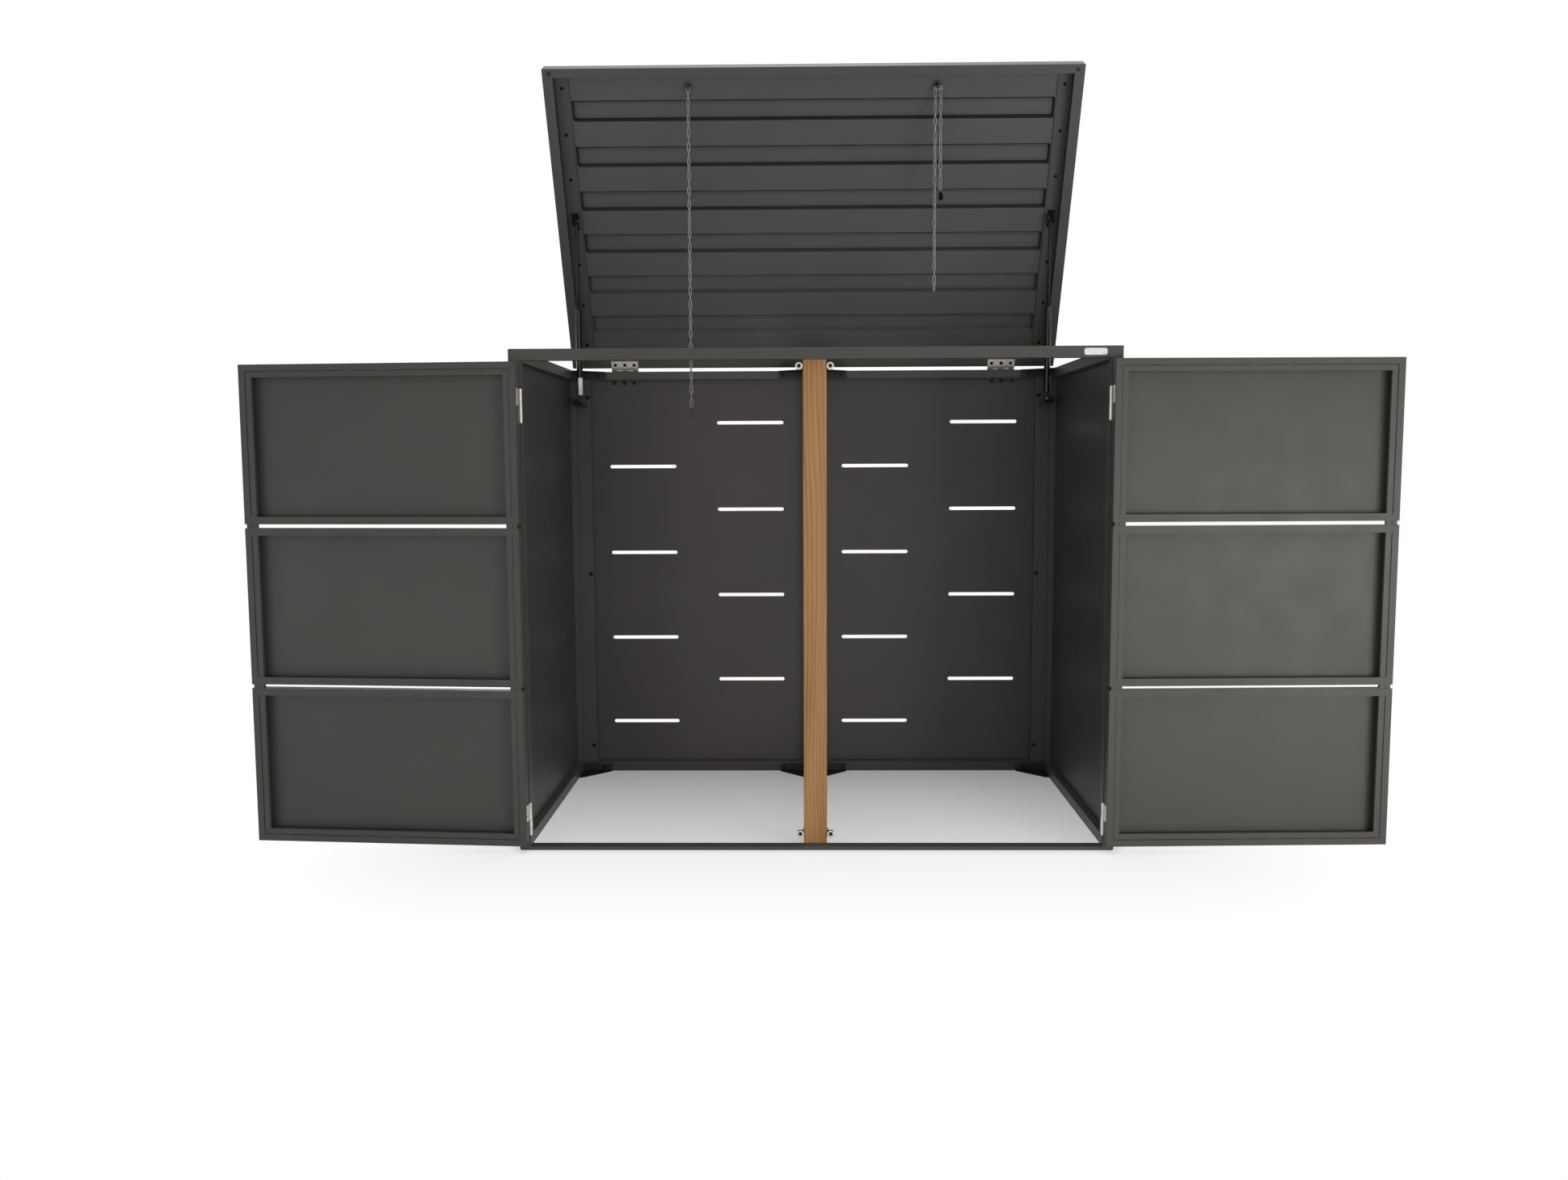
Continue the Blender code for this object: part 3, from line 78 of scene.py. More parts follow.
class Nodes:
    """A material's node tree, with short calls to add and link nodes."""

    def __init__(self, name):
        self.material = bpy.data.materials.new(name)
        self.material.use_nodes = True
        self.tree = self.material.node_tree
        self.shader = self.tree.nodes["Principled BSDF"]
        self.place = self.add("ShaderNodeTexCoord").outputs["Object"]

    def add(self, kind, **settings):
        node = self.tree.nodes.new(kind)
        for key, value in settings.items():
            setattr(node, key, value)
        return node

    def link(self, a, b):
        self.tree.links.new(a, b)

    def mapped(self, scale, source=None):
        node = self.add("ShaderNodeMapping")
        node.inputs["Scale"].default_value = scale
        self.link(source or self.place, node.inputs["Vector"])
        return node.outputs["Vector"]

    def noise(self, scale, detail=2.0, rough=0.5, vector=None):
        node = self.add("ShaderNodeTexNoise")
        node.inputs["Scale"].default_value = scale
        node.inputs["Detail"].default_value = detail
        node.inputs["Roughness"].default_value = rough
        self.link(vector or self.place, node.inputs["Vector"])
        return node.outputs["Fac"]

    def ramp(self, source, stops):
        node = self.add("ShaderNodeValToRGB")
        elements = node.color_ramp.elements
        while len(elements) < len(stops):
            elements.new(0.5)
        for element, (position, colour) in zip(elements, stops):
            element.position = position
            element.color = (*colour, 1.0)
        self.link(source, node.inputs["Fac"])
        return node.outputs["Color"]

    def span(self, source, low, high, from_low=0.0, from_high=1.0):
        node = self.add("ShaderNodeMapRange")
        node.inputs["From Min"].default_value = from_low
        node.inputs["From Max"].default_value = from_high
        node.inputs["To Min"].default_value = low
        node.inputs["To Max"].default_value = high
        self.link(source, node.inputs["Value"])
        return node.outputs["Result"]

    def maths(self, operation, a, b):
        node = self.add("ShaderNodeMath", operation=operation)
        for socket, value in zip(node.inputs, (a, b)):
            if isinstance(value, (int, float)):
                socket.default_value = value
            else:
                self.link(value, socket)
        return node.outputs["Value"]

    def length(self, a, b):
        squares = self.maths("ADD", self.maths("MULTIPLY", a, a), self.maths("MULTIPLY", b, b))
        return self.maths("SQRT", squares, 0.0)

    def bump(self, height, strength, distance, normal=None):
        node = self.add("ShaderNodeBump")
        node.inputs["Strength"].default_value = strength
        node.inputs["Distance"].default_value = distance
        self.link(height, node.inputs["Height"])
        if normal:
            self.link(normal, node.inputs["Normal"])
        return node.outputs["Normal"]

    def set(self, **values):
        for key, value in values.items():
            self.shader.inputs[key.replace("_", " ")].default_value = value

    def coat_colour(self, speckle, colour, spread):
        """A colour that varies with the speckle and a slow drift."""
        drift = self.noise(2.3, 3.0, 0.5)
        mix = self.maths("ADD", self.maths("MULTIPLY", speckle, 0.55), self.maths("MULTIPLY", drift, 0.45))
        low = tuple(c * (1 - spread) for c in colour)
        high = tuple(c * (1 + spread) for c in colour)
        return self.ramp(mix, [(0.36, low), (0.64, high)])

    def coat_surface(self, speckle, low, high):
        """Roughness from handling, and the relief of orange peel and grain."""
        handling = self.noise(9.0, 4.0, 0.55)
        self.link(self.span(handling, low, high, 0.35, 0.65), self.shader.inputs["Roughness"])
        peel = self.bump(self.noise(420.0, 1.0, 0.5), 0.25, 0.0004)
        self.link(self.bump(speckle, 0.22, 0.0002, peel), self.shader.inputs["Normal"])


SPECKLE = (1400.0, 2.0, 0.6)


def powder_coat(name, colour, roughness=0.46):
    """Fine-textured matt coating on steel: speckle, slow tone drift, orange peel and grain."""
    m = Nodes(name)
    speckle = m.noise(*SPECKLE)
    m.link(m.coat_colour(speckle, colour, 0.14), m.shader.inputs["Base Color"])
    m.coat_surface(speckle, roughness - 0.02, roughness + 0.04)
    m.set(Metallic=0.0, Specular_IOR_Level=0.38)
    return m.material


def gusset_coat(name):
    """Coated bracket whose flat plate is painted blacker than its upright leaf, as painted shade."""
    m = Nodes(name)
    speckle = m.noise(*SPECKLE)
    normal = m.add("ShaderNodeSeparateXYZ")
    m.link(m.add("ShaderNodeTexCoord").outputs["Normal"], normal.inputs[0])
    # Painted shade: faces lying flat get a near-black colour, the upright leaf a lighter one
    flat = m.span(m.maths("ABSOLUTE", normal.outputs["Z"], 0.0), 0.0, 1.0, 0.4, 0.6)
    upright = m.maths("MULTIPLY", m.maths("SUBTRACT", 1.0, flat), m.span(speckle, 0.85, 1.0))
    stops = [(0.0, (0.008, 0.008, 0.008)), (1.0, (0.026, 0.025, 0.024))]
    m.link(m.ramp(upright, stops), m.shader.inputs["Base Color"])
    m.link(m.span(m.noise(9.0, 4.0, 0.55), 0.40, 0.48, 0.35, 0.65), m.shader.inputs["Roughness"])
    m.link(m.bump(speckle, 0.22, 0.0002), m.shader.inputs["Normal"])
    m.set(Specular_IOR_Level=0.25)
    return m.material


def lid_coat(name, colour):
    """Powder coat on the lid sheet. Underneath, painted shade darkens and dulls the ribs' sloping sides and
    the nooks, less so higher up the open lid."""
    m = Nodes(name)
    speckle = m.noise(*SPECKLE)
    coat = m.coat_colour(speckle, colour, 0.12)
    place = m.add("ShaderNodeSeparateXYZ")
    m.link(m.place, place.inputs[0])
    facing_out = m.add("ShaderNodeVectorMath", operation="DOT_PRODUCT")
    m.link(m.add("ShaderNodeTexCoord").outputs["Normal"], facing_out.inputs[0])
    facing_out.inputs[1].default_value = (0.0, math.sin(LID_ANGLE), math.cos(LID_ANGLE))
    # Painted shade: the base colour is darkened and the specular lowered on the rib slopes, in nooks found by
    # occlusion, and low on the lid
    under = m.span(facing_out.outputs["Value"], 1.0, 0.0, -0.95, -0.75)
    level = m.maths("MAXIMUM", under, m.span(facing_out.outputs["Value"], 0.0, 1.0, 0.1, 0.3))
    bend = m.maths("MAXIMUM", level, m.span(place.outputs["Z"], 0.90, 0.42, 1.34, 1.60))
    occlusion_shade = m.add("ShaderNodeAmbientOcclusion", samples=6)
    occlusion_shade.inputs["Distance"].default_value = 0.016
    bend = m.maths("MULTIPLY", bend, m.span(occlusion_shade.outputs["AO"], 0.45, 1.0, 0.55, 0.97))
    shade = m.add("ShaderNodeVectorMath", operation="SCALE")
    m.link(coat, shade.inputs[0])
    m.link(bend, shade.inputs["Scale"])
    m.link(shade.outputs["Vector"], m.shader.inputs["Base Color"])
    m.coat_surface(speckle, 0.42, 0.54)
    m.link(m.span(bend, 0.05, 0.45, 0.30, 1.0), m.shader.inputs["Specular IOR Level"])
    return m.material


def zinc_plate(name, colour, roughness=0.34, streak=(60.0, 60.0, 900.0), metallic=1.0):
    """Zinc or nickel plate over rolled steel, with fine rolling lines and a cloudy passivated tone."""
    m = Nodes(name)
    lines = m.noise(1.0, 2.0, 0.6, m.mapped(streak))
    cloud = m.noise(70.0, 3.0, 0.6)
    low = tuple(c * 0.74 for c in colour)
    m.link(m.ramp(cloud, [(0.32, low), (0.62, colour)]), m.shader.inputs["Base Color"])
    rough = m.maths("ADD", m.span(lines, -0.06, 0.08), m.span(cloud, roughness - 0.04, roughness + 0.05))
    m.link(rough, m.shader.inputs["Roughness"])
    m.link(m.bump(lines, 0.25, 0.0001, m.bump(m.noise(700.0), 0.15, 0.0001)), m.shader.inputs["Normal"])
    m.set(Metallic=metallic)
    return m.material


def black_enamel(name, shine=0.3, roughness=0.36):
    """Black paint on small hardware, a little worn."""
    m = Nodes(name)
    wear = m.noise(160.0, 3.0, 0.6)
    stops = [(0.35, (0.004, 0.004, 0.0045)), (0.7, (0.009, 0.009, 0.0095))]
    m.link(m.ramp(wear, stops), m.shader.inputs["Base Color"])
    m.link(m.span(wear, roughness - 0.03, roughness + 0.10, 0.3, 0.7), m.shader.inputs["Roughness"])
    m.link(m.bump(m.noise(500.0, 1.0), 0.2, 0.0002), m.shader.inputs["Normal"])
    m.set(Specular_IOR_Level=shine)
    return m.material


def eye_coat(name):
    """Black ring and stud; the round base is coated like the lid sheet it sits on."""
    m = Nodes(name)
    wear = m.noise(160.0, 3.0, 0.6)
    place = m.add("ShaderNodeSeparateXYZ")
    m.link(m.place, place.inputs[0])
    across = m.maths("SUBTRACT", m.maths("ABSOLUTE", place.outputs["X"], 0.0), CHAIN_X)
    back = m.maths("MULTIPLY", m.maths("SUBTRACT", place.outputs["Y"], EYE_CENTRE.y), -math.cos(LID_ANGLE))
    rise = m.maths("MULTIPLY", m.maths("SUBTRACT", place.outputs["Z"], EYE_CENTRE.z), math.sin(LID_ANGLE))
    radius = m.length(across, m.maths("ADD", back, rise))
    edge = m.span(m.maths("ADD", radius, m.maths("MULTIPLY", wear, 0.0004)), 0.0, 1.0, 0.0050, 0.0054)
    stops = [(0.3, (0.006, 0.006, 0.006)), (0.7, (0.080, 0.076, 0.076))]
    m.link(m.ramp(edge, stops), m.shader.inputs["Base Color"])
    m.link(m.span(wear, 0.36, 0.5, 0.3, 0.7), m.shader.inputs["Roughness"])
    m.link(m.bump(m.noise(500.0, 1.0), 0.2, 0.0002), m.shader.inputs["Normal"])
    m.set(Specular_IOR_Level=0.3)
    return m.material


def rubber(name, colour=(0.016, 0.016, 0.016), shine=0.4):
    """Dull rubber or soft plastic with a faint bloom."""
    m = Nodes(name)
    bloom = m.noise(240.0, 3.0, 0.6)
    stops = [(0.3, colour), (0.75, tuple(c * 1.9 for c in colour))]
    m.link(m.ramp(bloom, stops), m.shader.inputs["Base Color"])
    m.link(m.span(bloom, 0.6, 0.8), m.shader.inputs["Roughness"])
    m.link(m.bump(m.noise(900.0), 0.3, 0.0002), m.shader.inputs["Normal"])
    m.set(Specular_IOR_Level=shine)
    return m.material


def satin_label(name):
    """A blank silver label: fine brushed film with a little dirt."""
    m = Nodes(name)
    lines = m.noise(1.0, 2.0, 0.5, m.mapped((900.0, 40.0, 40.0)))
    dirt = m.noise(120.0, 4.0, 0.6)
    stops = [(0.3, (0.80, 0.80, 0.79)), (0.6, (0.95, 0.95, 0.94))]
    m.link(m.ramp(dirt, stops), m.shader.inputs["Base Color"])
    m.link(m.span(lines, 0.34, 0.5), m.shader.inputs["Roughness"])
    m.link(m.bump(lines, 0.2, 0.0001), m.shader.inputs["Normal"])
    m.set(Metallic=0.15)
    return m.material


def oiled_wood(name):
    """Oiled softwood: growth bands drawn out along the post, fine fibres and pores."""
    m = Nodes(name)
    wander = m.noise(5.0, 3.0, 0.5, m.mapped((1.0, 1.0, 0.22)))
    warp = m.add("ShaderNodeVectorMath", operation="SCALE")
    offset = m.add("ShaderNodeCombineXYZ")
    m.link(wander, offset.inputs["X"])
    m.link(offset.outputs["Vector"], warp.inputs[0])
    warp.inputs["Scale"].default_value = 0.09
    bent = m.add("ShaderNodeVectorMath", operation="ADD")
    m.link(m.place, bent.inputs[0])
    m.link(warp.outputs["Vector"], bent.inputs[1])
    bands = m.add("ShaderNodeTexWave", wave_type="BANDS", bands_direction="X", wave_profile="SAW")
    bands.inputs["Scale"].default_value = 30.0
    bands.inputs["Distortion"].default_value = 3.4
    bands.inputs["Detail"].default_value = 3.0
    bands.inputs["Detail Scale"].default_value = 0.9
    m.link(m.mapped((1.0, 0.6, 0.035), bent.outputs["Vector"]), bands.inputs["Vector"])
    fibre = m.noise(1.0, 3.0, 0.65, m.mapped((1500.0, 1500.0, 22.0)))
    cloud = m.noise(1.0, 3.0, 0.5, m.mapped((30.0, 30.0, 2.0)))
    tone = m.maths("ADD", m.maths("MULTIPLY", bands.outputs["Fac"], 0.24), m.maths("MULTIPLY", fibre, 0.32))
    tone = m.maths("ADD", tone, m.maths("MULTIPLY", cloud, 0.44))
    stops = [(0.30, (0.300, 0.140, 0.046)), (0.50, (0.460, 0.245, 0.095)), (0.70, (0.560, 0.330, 0.145))]
    m.link(m.ramp(tone, stops), m.shader.inputs["Base Color"])
    m.link(m.span(fibre, 0.48, 0.66, 0.3, 0.7), m.shader.inputs["Roughness"])
    m.link(m.bump(fibre, 0.35, 0.0003, m.bump(bands.outputs["Fac"], 0.15, 0.0004)), m.shader.inputs["Normal"])
    m.set(Specular_IOR_Level=0.35)
    return m.material


# One powder coat in lit and shaded copies: side sheets, back panels and low back rails are coloured darker,
# lid sheet and rim lighter, as painted shade and painted light
FRAME_COAT = powder_coat("coated_frame", (0.068, 0.065, 0.059))
DOOR_COAT = powder_coat("coated_door_sheet", (0.067, 0.064, 0.058))
WALL_COAT = powder_coat("coated_wall_sheet", (0.059, 0.053, 0.049))
SIDE_COAT = powder_coat("coated_side_sheet", (0.048, 0.048, 0.048))
LID_COAT = lid_coat("coated_lid_sheet", (0.082, 0.078, 0.078))
DARK_BOLT = black_enamel("blackened_bolt", 0.2, 0.34)
RAIL_COAT = powder_coat("coated_low_rail", (0.044, 0.042, 0.039))
GUSSET_COAT = gusset_coat("coated_gusset")
RIM_COAT = powder_coat("coated_lid_rim", (0.080, 0.077, 0.075), 0.40)
BLACK_SCREW = black_enamel("black_screw", 0.08)
ZINC = zinc_plate("bright_zinc", (0.78, 0.75, 0.70), 0.36, metallic=0.80)
CHAIN_ZINC = zinc_plate("chain_zinc", (0.34, 0.34, 0.325), 0.36, (500.0, 500.0, 500.0), 0.5)
NICKEL = zinc_plate("nickel_plate", (0.84, 0.79, 0.69), 0.30, (120.0, 120.0, 120.0), 0.3)
GRIP = rubber("chain_grip", (0.043, 0.034, 0.032))
# A near-black, less glossy copy of the grip rubber: painted shade for the right grip
SHADED_GRIP = rubber("chain_grip_dark", (0.003, 0.003, 0.003), 0.12)
BLACK = black_enamel("strut_black", 0.5, 0.16)
DULL_BLACK = black_enamel("dull_black")
EYE_COAT = eye_coat("coated_chain_eye")
# The strut rod is coloured near black, a painted dark reflection in place of the surroundings a chrome rod
# mirrors
ROD_PAINTED_REFLECTION = zinc_plate("strut_rod_plate", (0.020, 0.0195, 0.019), 0.14)
WOOD = oiled_wood("oiled_wood")
RUBBER = rubber("buffer_rubber")
LABEL = satin_label("blank_label")


def node_material(name):
    if name.startswith("door_panel"):
        return DOOR_COAT
    if name.startswith("back_panel"):
        return WALL_COAT
    if name.startswith("side_panel"):
        return SIDE_COAT
    if name.startswith("lid_panel"):
        return LID_COAT
    if name.startswith(("strut_cylinder", "strut_bracket")):
        return BLACK
    if name.startswith("strut_rod"):
        return ROD_PAINTED_REFLECTION
    if name.startswith("magnet"):
        return DULL_BLACK
    if name == "wood_post":
        return WOOD
    if name.startswith("chain_eye"):
        return EYE_COAT
    if "hinge" in name or name.startswith("chain"):
        return ZINC
    if "gusset" in name:
        return GUSSET_COAT
    if name.startswith("back") and "bottom" in name:
        return RAIL_COAT
    if name == "lid_frame":
        return RIM_COAT
    return FRAME_COAT


def finish_nodes():
    """Give every CAD node its finish, and folded edges their small bend radius."""
    for name, node in nodes.items():
        node.data.materials.clear()
        node.data.materials.append(node_material(name))
        if name.startswith("chain"):
            continue
        if name.startswith(("strut_cylinder", "strut_rod")):
            turned = node.modifiers.new("Turned surface", "BEVEL")
            turned.width = 0.0016 if "cylinder" in name else 0.0007
            turned.segments = 4
            turned.limit_method = "ANGLE"
            turned.angle_limit = math.radians(14)
            continue
        edge = node.modifiers.new("Edge radius", "BEVEL")
        edge.width = 0.0012 if name == "wood_post" else 0.0005
        edge.segments = 2
        edge.limit_method = "ANGLE"
        edge.angle_limit = math.radians(40)


# Building blocks

def add_piece(name, bm, material, body, place=WORLD, smooth=35):
    """One named mesh piece, placed and carried by a body."""
    mesh = bpy.data.meshes.new(name)
    bm.to_mesh(mesh)
    bm.free()
    mesh.transform(place)
    mesh.materials.append(material)
    piece = bpy.data.objects.new(name, mesh)
    bpy.context.scene.collection.objects.link(piece)
    mesh.shade_smooth()
    mesh.set_sharp_from_angle(angle=math.radians(smooth))
    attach(piece, body)
    return piece


def facing(point, direction):
    """A matrix with Z along a direction, at a point."""
    turn = Vector(direction).to_track_quat("Z", "Y").to_matrix().to_4x4()
    return Matrix.Translation(Vector(point)) @ turn


def lathe(bm, profile, place, sides=24):
    """Revolve a profile of (radius, height) about Z, closed at both ends."""
    rings = []
    for radius, height in profile:
        if radius < 1e-6:
            rings.append([bm.verts.new(place @ Vector((0, 0, height)))])
        else:
            rings.append([bm.verts.new(place @ Vector((radius * math.cos(2 * math.pi * i / sides),
                                                       radius * math.sin(2 * math.pi * i / sides), height)))
                          for i in range(sides)])
    for low, high in zip(rings, rings[1:]):
        for i in range(sides):
            j = (i + 1) % sides
            corners = [low[i % len(low)], low[j % len(low)], high[j % len(high)], high[i % len(high)]]
            unique = list(dict.fromkeys(corners))
            if len(unique) > 2:
                bm.faces.new(unique)


def hex_bolt(bm, place, across=0.009, height=0.0032, washer=0.0064):
    """A hexagon head with a chamfered crown, on a plain washer."""
    lathe(bm, [(0, 0), (washer, 0), (washer, 0.0009), (washer * 0.96, 0.0011), (0, 0.0011)], place)
    lathe(bm, [(0, 0.001), (across / 2 * 1.1547, 0.001), (across / 2 * 1.1547, height * 0.85),
               (across / 2, height + 0.0004), (0, height + 0.0004)], place, 6)


def pan_screw(bm, place, radius=0.0044, height=0.0022):
    """A low domed head with a cross recess."""
    dome = [(0, 0), (radius, 0), (radius, height * 0.3), (radius * 0.9, height * 0.72),
            (radius * 0.6, height * 0.97), (radius * 0.26, height)]
    lathe(bm, dome + [(radius * 0.2, height * 0.5), (0, height * 0.42)], place)
    for turn in (0, math.pi / 2):
        bar = Matrix.Translation((0, 0, height)) @ Matrix.Diagonal((radius * 0.9, radius * 0.17, 0.0002, 1))
        bmesh.ops.create_cube(bm, size=1.0, matrix=place @ Matrix.Rotation(turn, 4, "Z") @ bar)


def sweep(bm, points, radius, sides=10):
    """A round wire along points, joined end to end."""
    count = len(points)
    rings = []
    normal = None
    for i, point in enumerate(points):
        along = (points[(i + 1) % count] - points[i - 1]).normalized()
        if normal is None:
            normal = along.orthogonal().normalized()
        normal = (normal - along * normal.dot(along)).normalized()
        other = along.cross(normal)
        rings.append([bm.verts.new(point + radius * (normal * math.cos(2 * math.pi * k / sides)
                                                     + other * math.sin(2 * math.pi * k / sides)))
                      for k in range(sides)])
    first, last = rings[0], rings[-1]
    shift = min(range(sides), key=lambda k: (first[k].co - last[0].co).length)
    for a, b in [*zip(rings, rings[1:]), (last, first[shift:] + first[:shift])]:
        for k in range(sides):
            j = (k + 1) % sides
            bm.faces.new((a[k], a[j], b[j], b[k]))


def stadium(centre, along, across, inner, width, wire, steps=8):
    """Points of a link's wire: straight sides and round ends."""
    bend = width / 2 - wire
    straight = inner / 2 + wire - bend
    along, across, centre = Vector(along), Vector(across), Vector(centre)
    points = []
    for sign in (1, -1):
        for step in range(steps + 1):
            angle = math.pi * step / steps
            points.append(centre + sign * bend * math.cos(angle) * across
                          + sign * (straight + bend * math.sin(angle)) * along)
    return points


# Fasteners

GUSSET_BOLTS = ((0.6405, 0.0125), (0.089, 0.0125), (0.642, 1.2015), (0.088, 1.2025))
POST_BOLT_X = 0.6735
POST_BOLT_HEIGHTS = (1.138, 0.607, 0.079)
HINGE_BOLT_X = (0.5357, 0.5647, 0.5949)
HINGE_BOLT_HEIGHT = 1.1818
STRIP_SCREW_X = 0.674
STRIP_SCREW_REACH = (0.062, 0.185, 0.308, 0.551, 0.673, 0.795)
LEAF_SCREW_X = (0.5335, 0.5615, 0.5895)
LEAF_SCREW_SEAT = (-0.0195, -0.0034)
LEAF_SCREW = [(0, 0), (0.0049, 0), (0.0049, 0.0006), (0.0047, 0.00072), (0.0017, 0.00072), (0.0013, 0.0004),
              (0, 0.0004)]
STRUT_BOLT_X = 0.6666
STRUT_BOLT_REACH = (0.4155, 0.4390)
MAGNET_RING = [(0.0048, 0.0), (0.0089, 0.0), (0.0089, 0.0001), (0.0087, 0.0002), (0.0050, 0.0002),
               (0.0048, 0.0001), (0.0048, 0.0)]
BUFFER = [(0, 0), (0.0056, 0), (0.0056, 0.0014), (0.0050, 0.0021), (0.0036, 0.0023), (0, 0.0023)]
BUFFER_AT = (0.6995, 0.8385)


def lid_at(x, reach, level):
    return Vector((x, LID_BACK - reach, level))


def add_fasteners():
    """Bolts and screws of the cabinet and the lid, the magnets' plated rings and the lid's buffers."""
    cabinet = bmesh.new()
    for side in (-1, 1):
        for x, z in GUSSET_BOLTS:
            hex_bolt(cabinet, facing((side * x, GUSSET_FACE, z), (0, -1, 0)))
        for z in POST_BOLT_HEIGHTS:
            hex_bolt(cabinet, facing((side * POST_BOLT_X, RAIL_FACE, z), (0, -1, 0)))
        for x in HINGE_BOLT_X:
            seat = facing((side * x, SHEET_INNER, HINGE_BOLT_HEIGHT), (0, -1, 0))
            hex_bolt(cabinet, seat, 0.0080, 0.0045, 0.0056)
    add_piece("cabinet_bolts", cabinet, DARK_BOLT, "cabinet")

    screws = bmesh.new()
    for side in (-1, 1):
        for reach in STRIP_SCREW_REACH:
            pan_screw(screws, facing(lid_at(side * STRIP_SCREW_X, reach, STRIP_LEVEL), (0, 0, -1)))
        for x in LEAF_SCREW_X:
            lathe(screws, LEAF_SCREW, facing((side * x, *LEAF_SCREW_SEAT), (0, 0, -1)))
        for reach in STRUT_BOLT_REACH:
            seat = facing(lid_at(side * STRUT_BOLT_X, reach, STRIP_LEVEL - 0.0033), (0, 0, -1))
            hex_bolt(screws, seat, 0.007, 0.003, 0.005)
    add_piece("lid_screws", screws, BLACK_SCREW, "lid", LID)

    rings = bmesh.new()
    for side in ("left", "right"):
        for height in ("top", "bottom"):
            low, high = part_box(f"magnet_catch_{height}_{side}")
            middle = ((low[0] + high[0]) / 2, low[1], (low[2] + high[2]) / 2)
            lathe(rings, MAGNET_RING, facing(middle, (0, -1, 0)), 32)
    add_piece("magnet_rings", rings, NICKEL, "cabinet")

    buffers = bmesh.new()
    for side in (-1, 1):
        lathe(buffers, BUFFER, facing(lid_at(side * BUFFER_AT[0], BUFFER_AT[1], LID_BASE), (0, 0, -1)))
    add_piece("lid_buffers", buffers, RUBBER, "lid", LID)


# Chains

LINK_PITCH = 0.01895
LINK_WIDTH = 0.0090
LINK_WIRE = 0.00125
BEARING = -0.0055
STRAND_OFFSET = 0.0074
TWIST = 0.28
LEFT_LINKS = 44
RIGHT_LINKS = (28, 14)
HOOK = ((-0.0046, 0.0042), (-0.0034, -0.0020), (-0.0008, -0.0094), (0.0008, -0.0094), (0.0034, -0.0020),
        (0.0046, 0.0042), (0.0026, 0.0062), (-0.0026, 0.0062))
HOOK_DROP = 0.0082
TAB_OUTLINE = ((-0.0030, -0.0062), (0.0030, -0.0062), (0.0082, -0.0130), (0.0098, -0.0290), (0.0080, -0.0310),
               (-0.0080, -0.0310), (-0.0098, -0.0290), (-0.0082, -0.0130))
TAB_THICKNESS = 0.0056


def strand(bm, x, top, count, first_turn):
    """Links that hang in each other, each turned a quarter from the last, with a slight twist."""
    for index in range(count):
        centre = (x, EYE_CENTRE.y, top - LINK_PITCH / 2 - index * LINK_PITCH)
        turn = first_turn + index * math.pi / 2
        if index > 1:
            turn += TWIST * math.sin(index * 0.9 + 60 * x)
        across = (math.cos(turn), math.sin(turn), 0)
        sweep(bm, stadium(centre, (0, 0, 1), across, LINK_PITCH, LINK_WIDTH, LINK_WIRE), LINK_WIRE)
    return top - count * LINK_PITCH


def grip(bm, x, top, turn, tilt, size=1.0):
    """The pull tab at a chain's end: a small ring and a flat, slightly tapered moulding."""
    place = Matrix.Translation((x, EYE_CENTRE.y, top)) @ Matrix.Rotation(turn, 4, "Z")
    place = place @ Matrix.Rotation(tilt, 4, "Y") @ Matrix.Scale(size, 4)
    ring = [place @ p for p in stadium((0, 0, -0.0032), (0, 0, 1), (1, 0, 0), 0.0044, 0.0070, 0.0013)]
    sweep(bm, ring, 0.0013)
    face = bm.faces.new([bm.verts.new(place @ Vector((u, -TAB_THICKNESS / 2, v))) for u, v in TAB_OUTLINE])
    solid = bmesh.ops.extrude_face_region(bm, geom=[face])
    moved = [v for v in solid["geom"] if isinstance(v, bmesh.types.BMVert)]
    bmesh.ops.translate(bm, verts=moved, vec=place.to_3x3() @ Vector((0, TAB_THICKNESS, 0)))
    edges = dict.fromkeys([edge for v in moved for edge in v.link_edges] + list(face.edges))
    bmesh.ops.bevel(bm, geom=list(edges), offset=0.0009, segments=3, affect="EDGES")
    bmesh.ops.recalc_face_normals(bm, faces=bm.faces)


def add_chains():
    """Both chains hang from the lid's ring eyes: the left one plumb, the right one doubled over its eye."""
    links = bmesh.new()
    top = EYE_CENTRE.z + BEARING
    sweep(links, [Vector((-CHAIN_X + x, EYE_CENTRE.y, top + z)) for x, z in HOOK], LINK_WIRE * 1.15)
    end = strand(links, -CHAIN_X, top - HOOK_DROP, LEFT_LINKS, 1.95)
    chain = add_piece("chain_links_left", links, CHAIN_ZINC, "chain_left")
    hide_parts("chain_left")
    tab = bmesh.new()
    grip(tab, -CHAIN_X, end, 0.0, 0.0)
    add_piece("chain_grip_left", tab, GRIP, "chain_left")

    links = bmesh.new()
    inner_half = LINK_WIDTH / 2 - 2 * LINK_WIRE
    middle = CHAIN_X + 0.0012
    slope = math.radians(12)
    saddle = stadium((middle, EYE_CENTRE.y, top - inner_half), (math.cos(slope), 0, math.sin(slope)),
                     (-math.sin(slope), 0, math.cos(slope)), LINK_PITCH, LINK_WIDTH, LINK_WIRE)
    sweep(links, saddle, LINK_WIRE)
    top -= 2 * inner_half
    strand(links, middle - STRAND_OFFSET, top, RIGHT_LINKS[0], 0.45)
    end = strand(links, middle + STRAND_OFFSET, top, RIGHT_LINKS[1], 0.45)
    chain = add_piece("chain_links_right", links, CHAIN_ZINC, "chain_right")
    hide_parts("chain_right")
    tab = bmesh.new()
    grip(tab, middle + STRAND_OFFSET, end, math.radians(122), math.radians(10), 0.82)
    # The right grip takes the shaded copy of the grip rubber, painted shade
    add_piece("chain_grip_right", tab, SHADED_GRIP, "chain_right")


# Fittings

